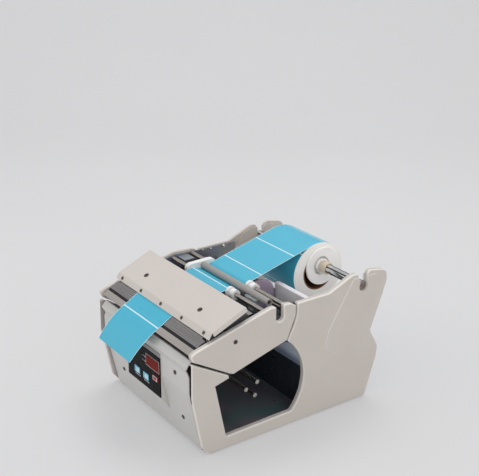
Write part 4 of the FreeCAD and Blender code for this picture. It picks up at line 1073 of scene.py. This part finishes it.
def shaft_ends():
    """Turned ends of the roll shaft: a chamfer, a groove and a centre hole."""
    low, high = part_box("roll_shaft")
    radius = (high.z - low.z) / 2 / MM
    # How far out and the radius, in millimetres, from the shaft's own end face
    turned = [(-1.0, 0.2), (-1.0, radius - 0.3), (0.6, radius - 0.3), (1.6, radius - 1.4),
              (1.6, 4.9), (0.7, 4.5), (0.7, 3.4), (1.9, 3.0), (1.9, 1.5), (0.9, 1.2), (0.9, 0.2)]
    for side, end in ((1, high.x), (-1, low.x)):
        profile = [(side * out * MM, reach * MM) for out, reach in turned]
        cap = lathe(f"shaft_end_{side}", profile, Vector((end, shaft.y, shaft.z)), "chrome_end",
                    "roll_axle", 48)


# Stage, light and camera. The camera's place is across in metres, and back and
# level in millimetres from the datum.

CAMERA_X, CAMERA_BACK, CAMERA_LEVEL = 1.2232, -693.7, 842.2
CAMERA_VIEW = Vector((-0.7661, 0.5348, -0.3564))
SENSOR, LENS = 36.0, 74.0
FLOOR_NEAR, FLOOR_FAR, FLOOR_HALF = -3.0, 1.6, 5.0
SWEEP_RADIUS, WALL_HEIGHT = 1.2, 5
FLOOR_TONE, FLOOR_SHARE = "D3D3D5", 0.45
LIT_CENTRE = (0, 0, 0.1)
LAMPS = [
    ("top_box", (-0.6, 0.7, 2.2), (1.3, 1.3), 17),
    ("front_box", (-1.0, -2.0, 1.4), (1.6, 1.4), 8),
    ("side_box", (2.4, -0.6, 1.0), (2.0, 1.6), 12),
]
WORLD_STRENGTH = 0.75


def even_floor(material):
    """Mix an even tone into what is seen of the floor; its shadows stay, but softer."""
    nodes, links = material.node_tree.nodes, material.node_tree.links
    ray = nodes.new("ShaderNodeLightPath")
    seen = ray.outputs["Is Camera Ray"]
    for kind in ("Is Glossy Ray", "Is Transmission Ray"):
        either = nodes.new("ShaderNodeMath")
        either.operation = "MAXIMUM"
        links.new(seen, either.inputs[0])
        links.new(ray.outputs[kind], either.inputs[1])
        seen = either.outputs["Value"]
    part = nodes.new("ShaderNodeMath")
    part.operation = "MULTIPLY"
    part.inputs[1].default_value = FLOOR_SHARE
    links.new(seen, part.inputs[0])
    tone = nodes.new("ShaderNodeEmission")
    tone.inputs["Color"].default_value = linear(FLOOR_TONE)
    mix = nodes.new("ShaderNodeMixShader")
    output = next(node for node in nodes if node.type == "OUTPUT_MATERIAL")
    paint = output.inputs["Surface"].links[0].from_socket
    links.new(part.outputs["Value"], mix.inputs[0])
    links.new(paint, mix.inputs[1])
    links.new(tone.outputs["Emission"], mix.inputs[2])
    links.new(mix.outputs["Shader"], output.inputs["Surface"])
    return material


def stage():
    """A pale floor that sweeps up into the backdrop, square to the camera."""
    look = Look("studio_floor", "DCDCDD", 0.9)
    look.mottle("D9D9DA", 0.5, 0.5)
    forward = CAMERA_VIEW.xy.normalized()
    side = Vector((forward.y, -forward.x))
    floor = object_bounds()[0].z
    path = [(FLOOR_NEAR, floor), (FLOOR_FAR, floor)]
    path += [(FLOOR_FAR + SWEEP_RADIUS * math.sin(a), floor + SWEEP_RADIUS * (1 - math.cos(a)))
             for a in (math.radians(7.5 * k) for k in range(1, 13))]
    path.append((FLOOR_FAR + SWEEP_RADIUS, floor + WALL_HEIGHT))
    points, faces = [], []
    for run, level in path:
        for across in (-FLOOR_HALF, FLOOR_HALF):
            spot = forward * run + side * across
            points.append((spot.x, spot.y, level))
    for i in range(len(path) - 1):
        faces.append((2 * i, 2 * i + 1, 2 * i + 3, 2 * i + 2))
    mesh = bpy.data.meshes.new("studio_floor")
    mesh.from_pydata(points, [], faces)
    for polygon in mesh.polygons:
        polygon.use_smooth = True
    obj = bpy.data.objects.new("studio_floor", mesh)
    obj.data.materials.append(even_floor(look.done()))
    bpy.context.collection.objects.link(obj)
    obj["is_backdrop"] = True


def aim(obj, direction):
    """Point a lamp or the camera and put it in the scene."""
    obj.rotation_euler = Vector(direction).to_track_quat("-Z", "Y").to_euler()
    bpy.context.collection.objects.link(obj)


def lights():
    """Three large soft lamps and a white world."""
    for name, place, size, power in LAMPS:
        data = bpy.data.lights.new(name, "AREA")
        data.shape = "RECTANGLE"
        data.size, data.size_y = size
        data.energy = power
        obj = bpy.data.objects.new(name, data)
        obj.location = place
        aim(obj, Vector(LIT_CENTRE) - Vector(place))
    world = bpy.data.worlds.new("studio")
    world.use_nodes = True
    background = world.node_tree.nodes["Background"]
    background.inputs["Color"].default_value = (1.0, 1.0, 1.0, 1)
    background.inputs["Strength"].default_value = WORLD_STRENGTH
    bpy.context.scene.world = world


def camera():
    """The camera at the photograph's place and angle."""
    data = bpy.data.cameras.new("camera")
    data.sensor_width = SENSOR
    data.lens = LENS
    obj = bpy.data.objects.new("camera", data)
    obj.location = (CAMERA_X, back_at(CAMERA_BACK), level_at(CAMERA_LEVEL))
    aim(obj, CAMERA_VIEW)
    bpy.context.scene.camera = obj


dress_nodes()
label_roll(label_web())
control_marks()
slots("hood_screws", "hood_flap", crossed=False)
slots("case_screws", "frame", crossed=True)
plate_screws()
shaft_ends()
stage()
lights()
camera()
bpy.context.scene.view_settings.view_transform = "Standard"
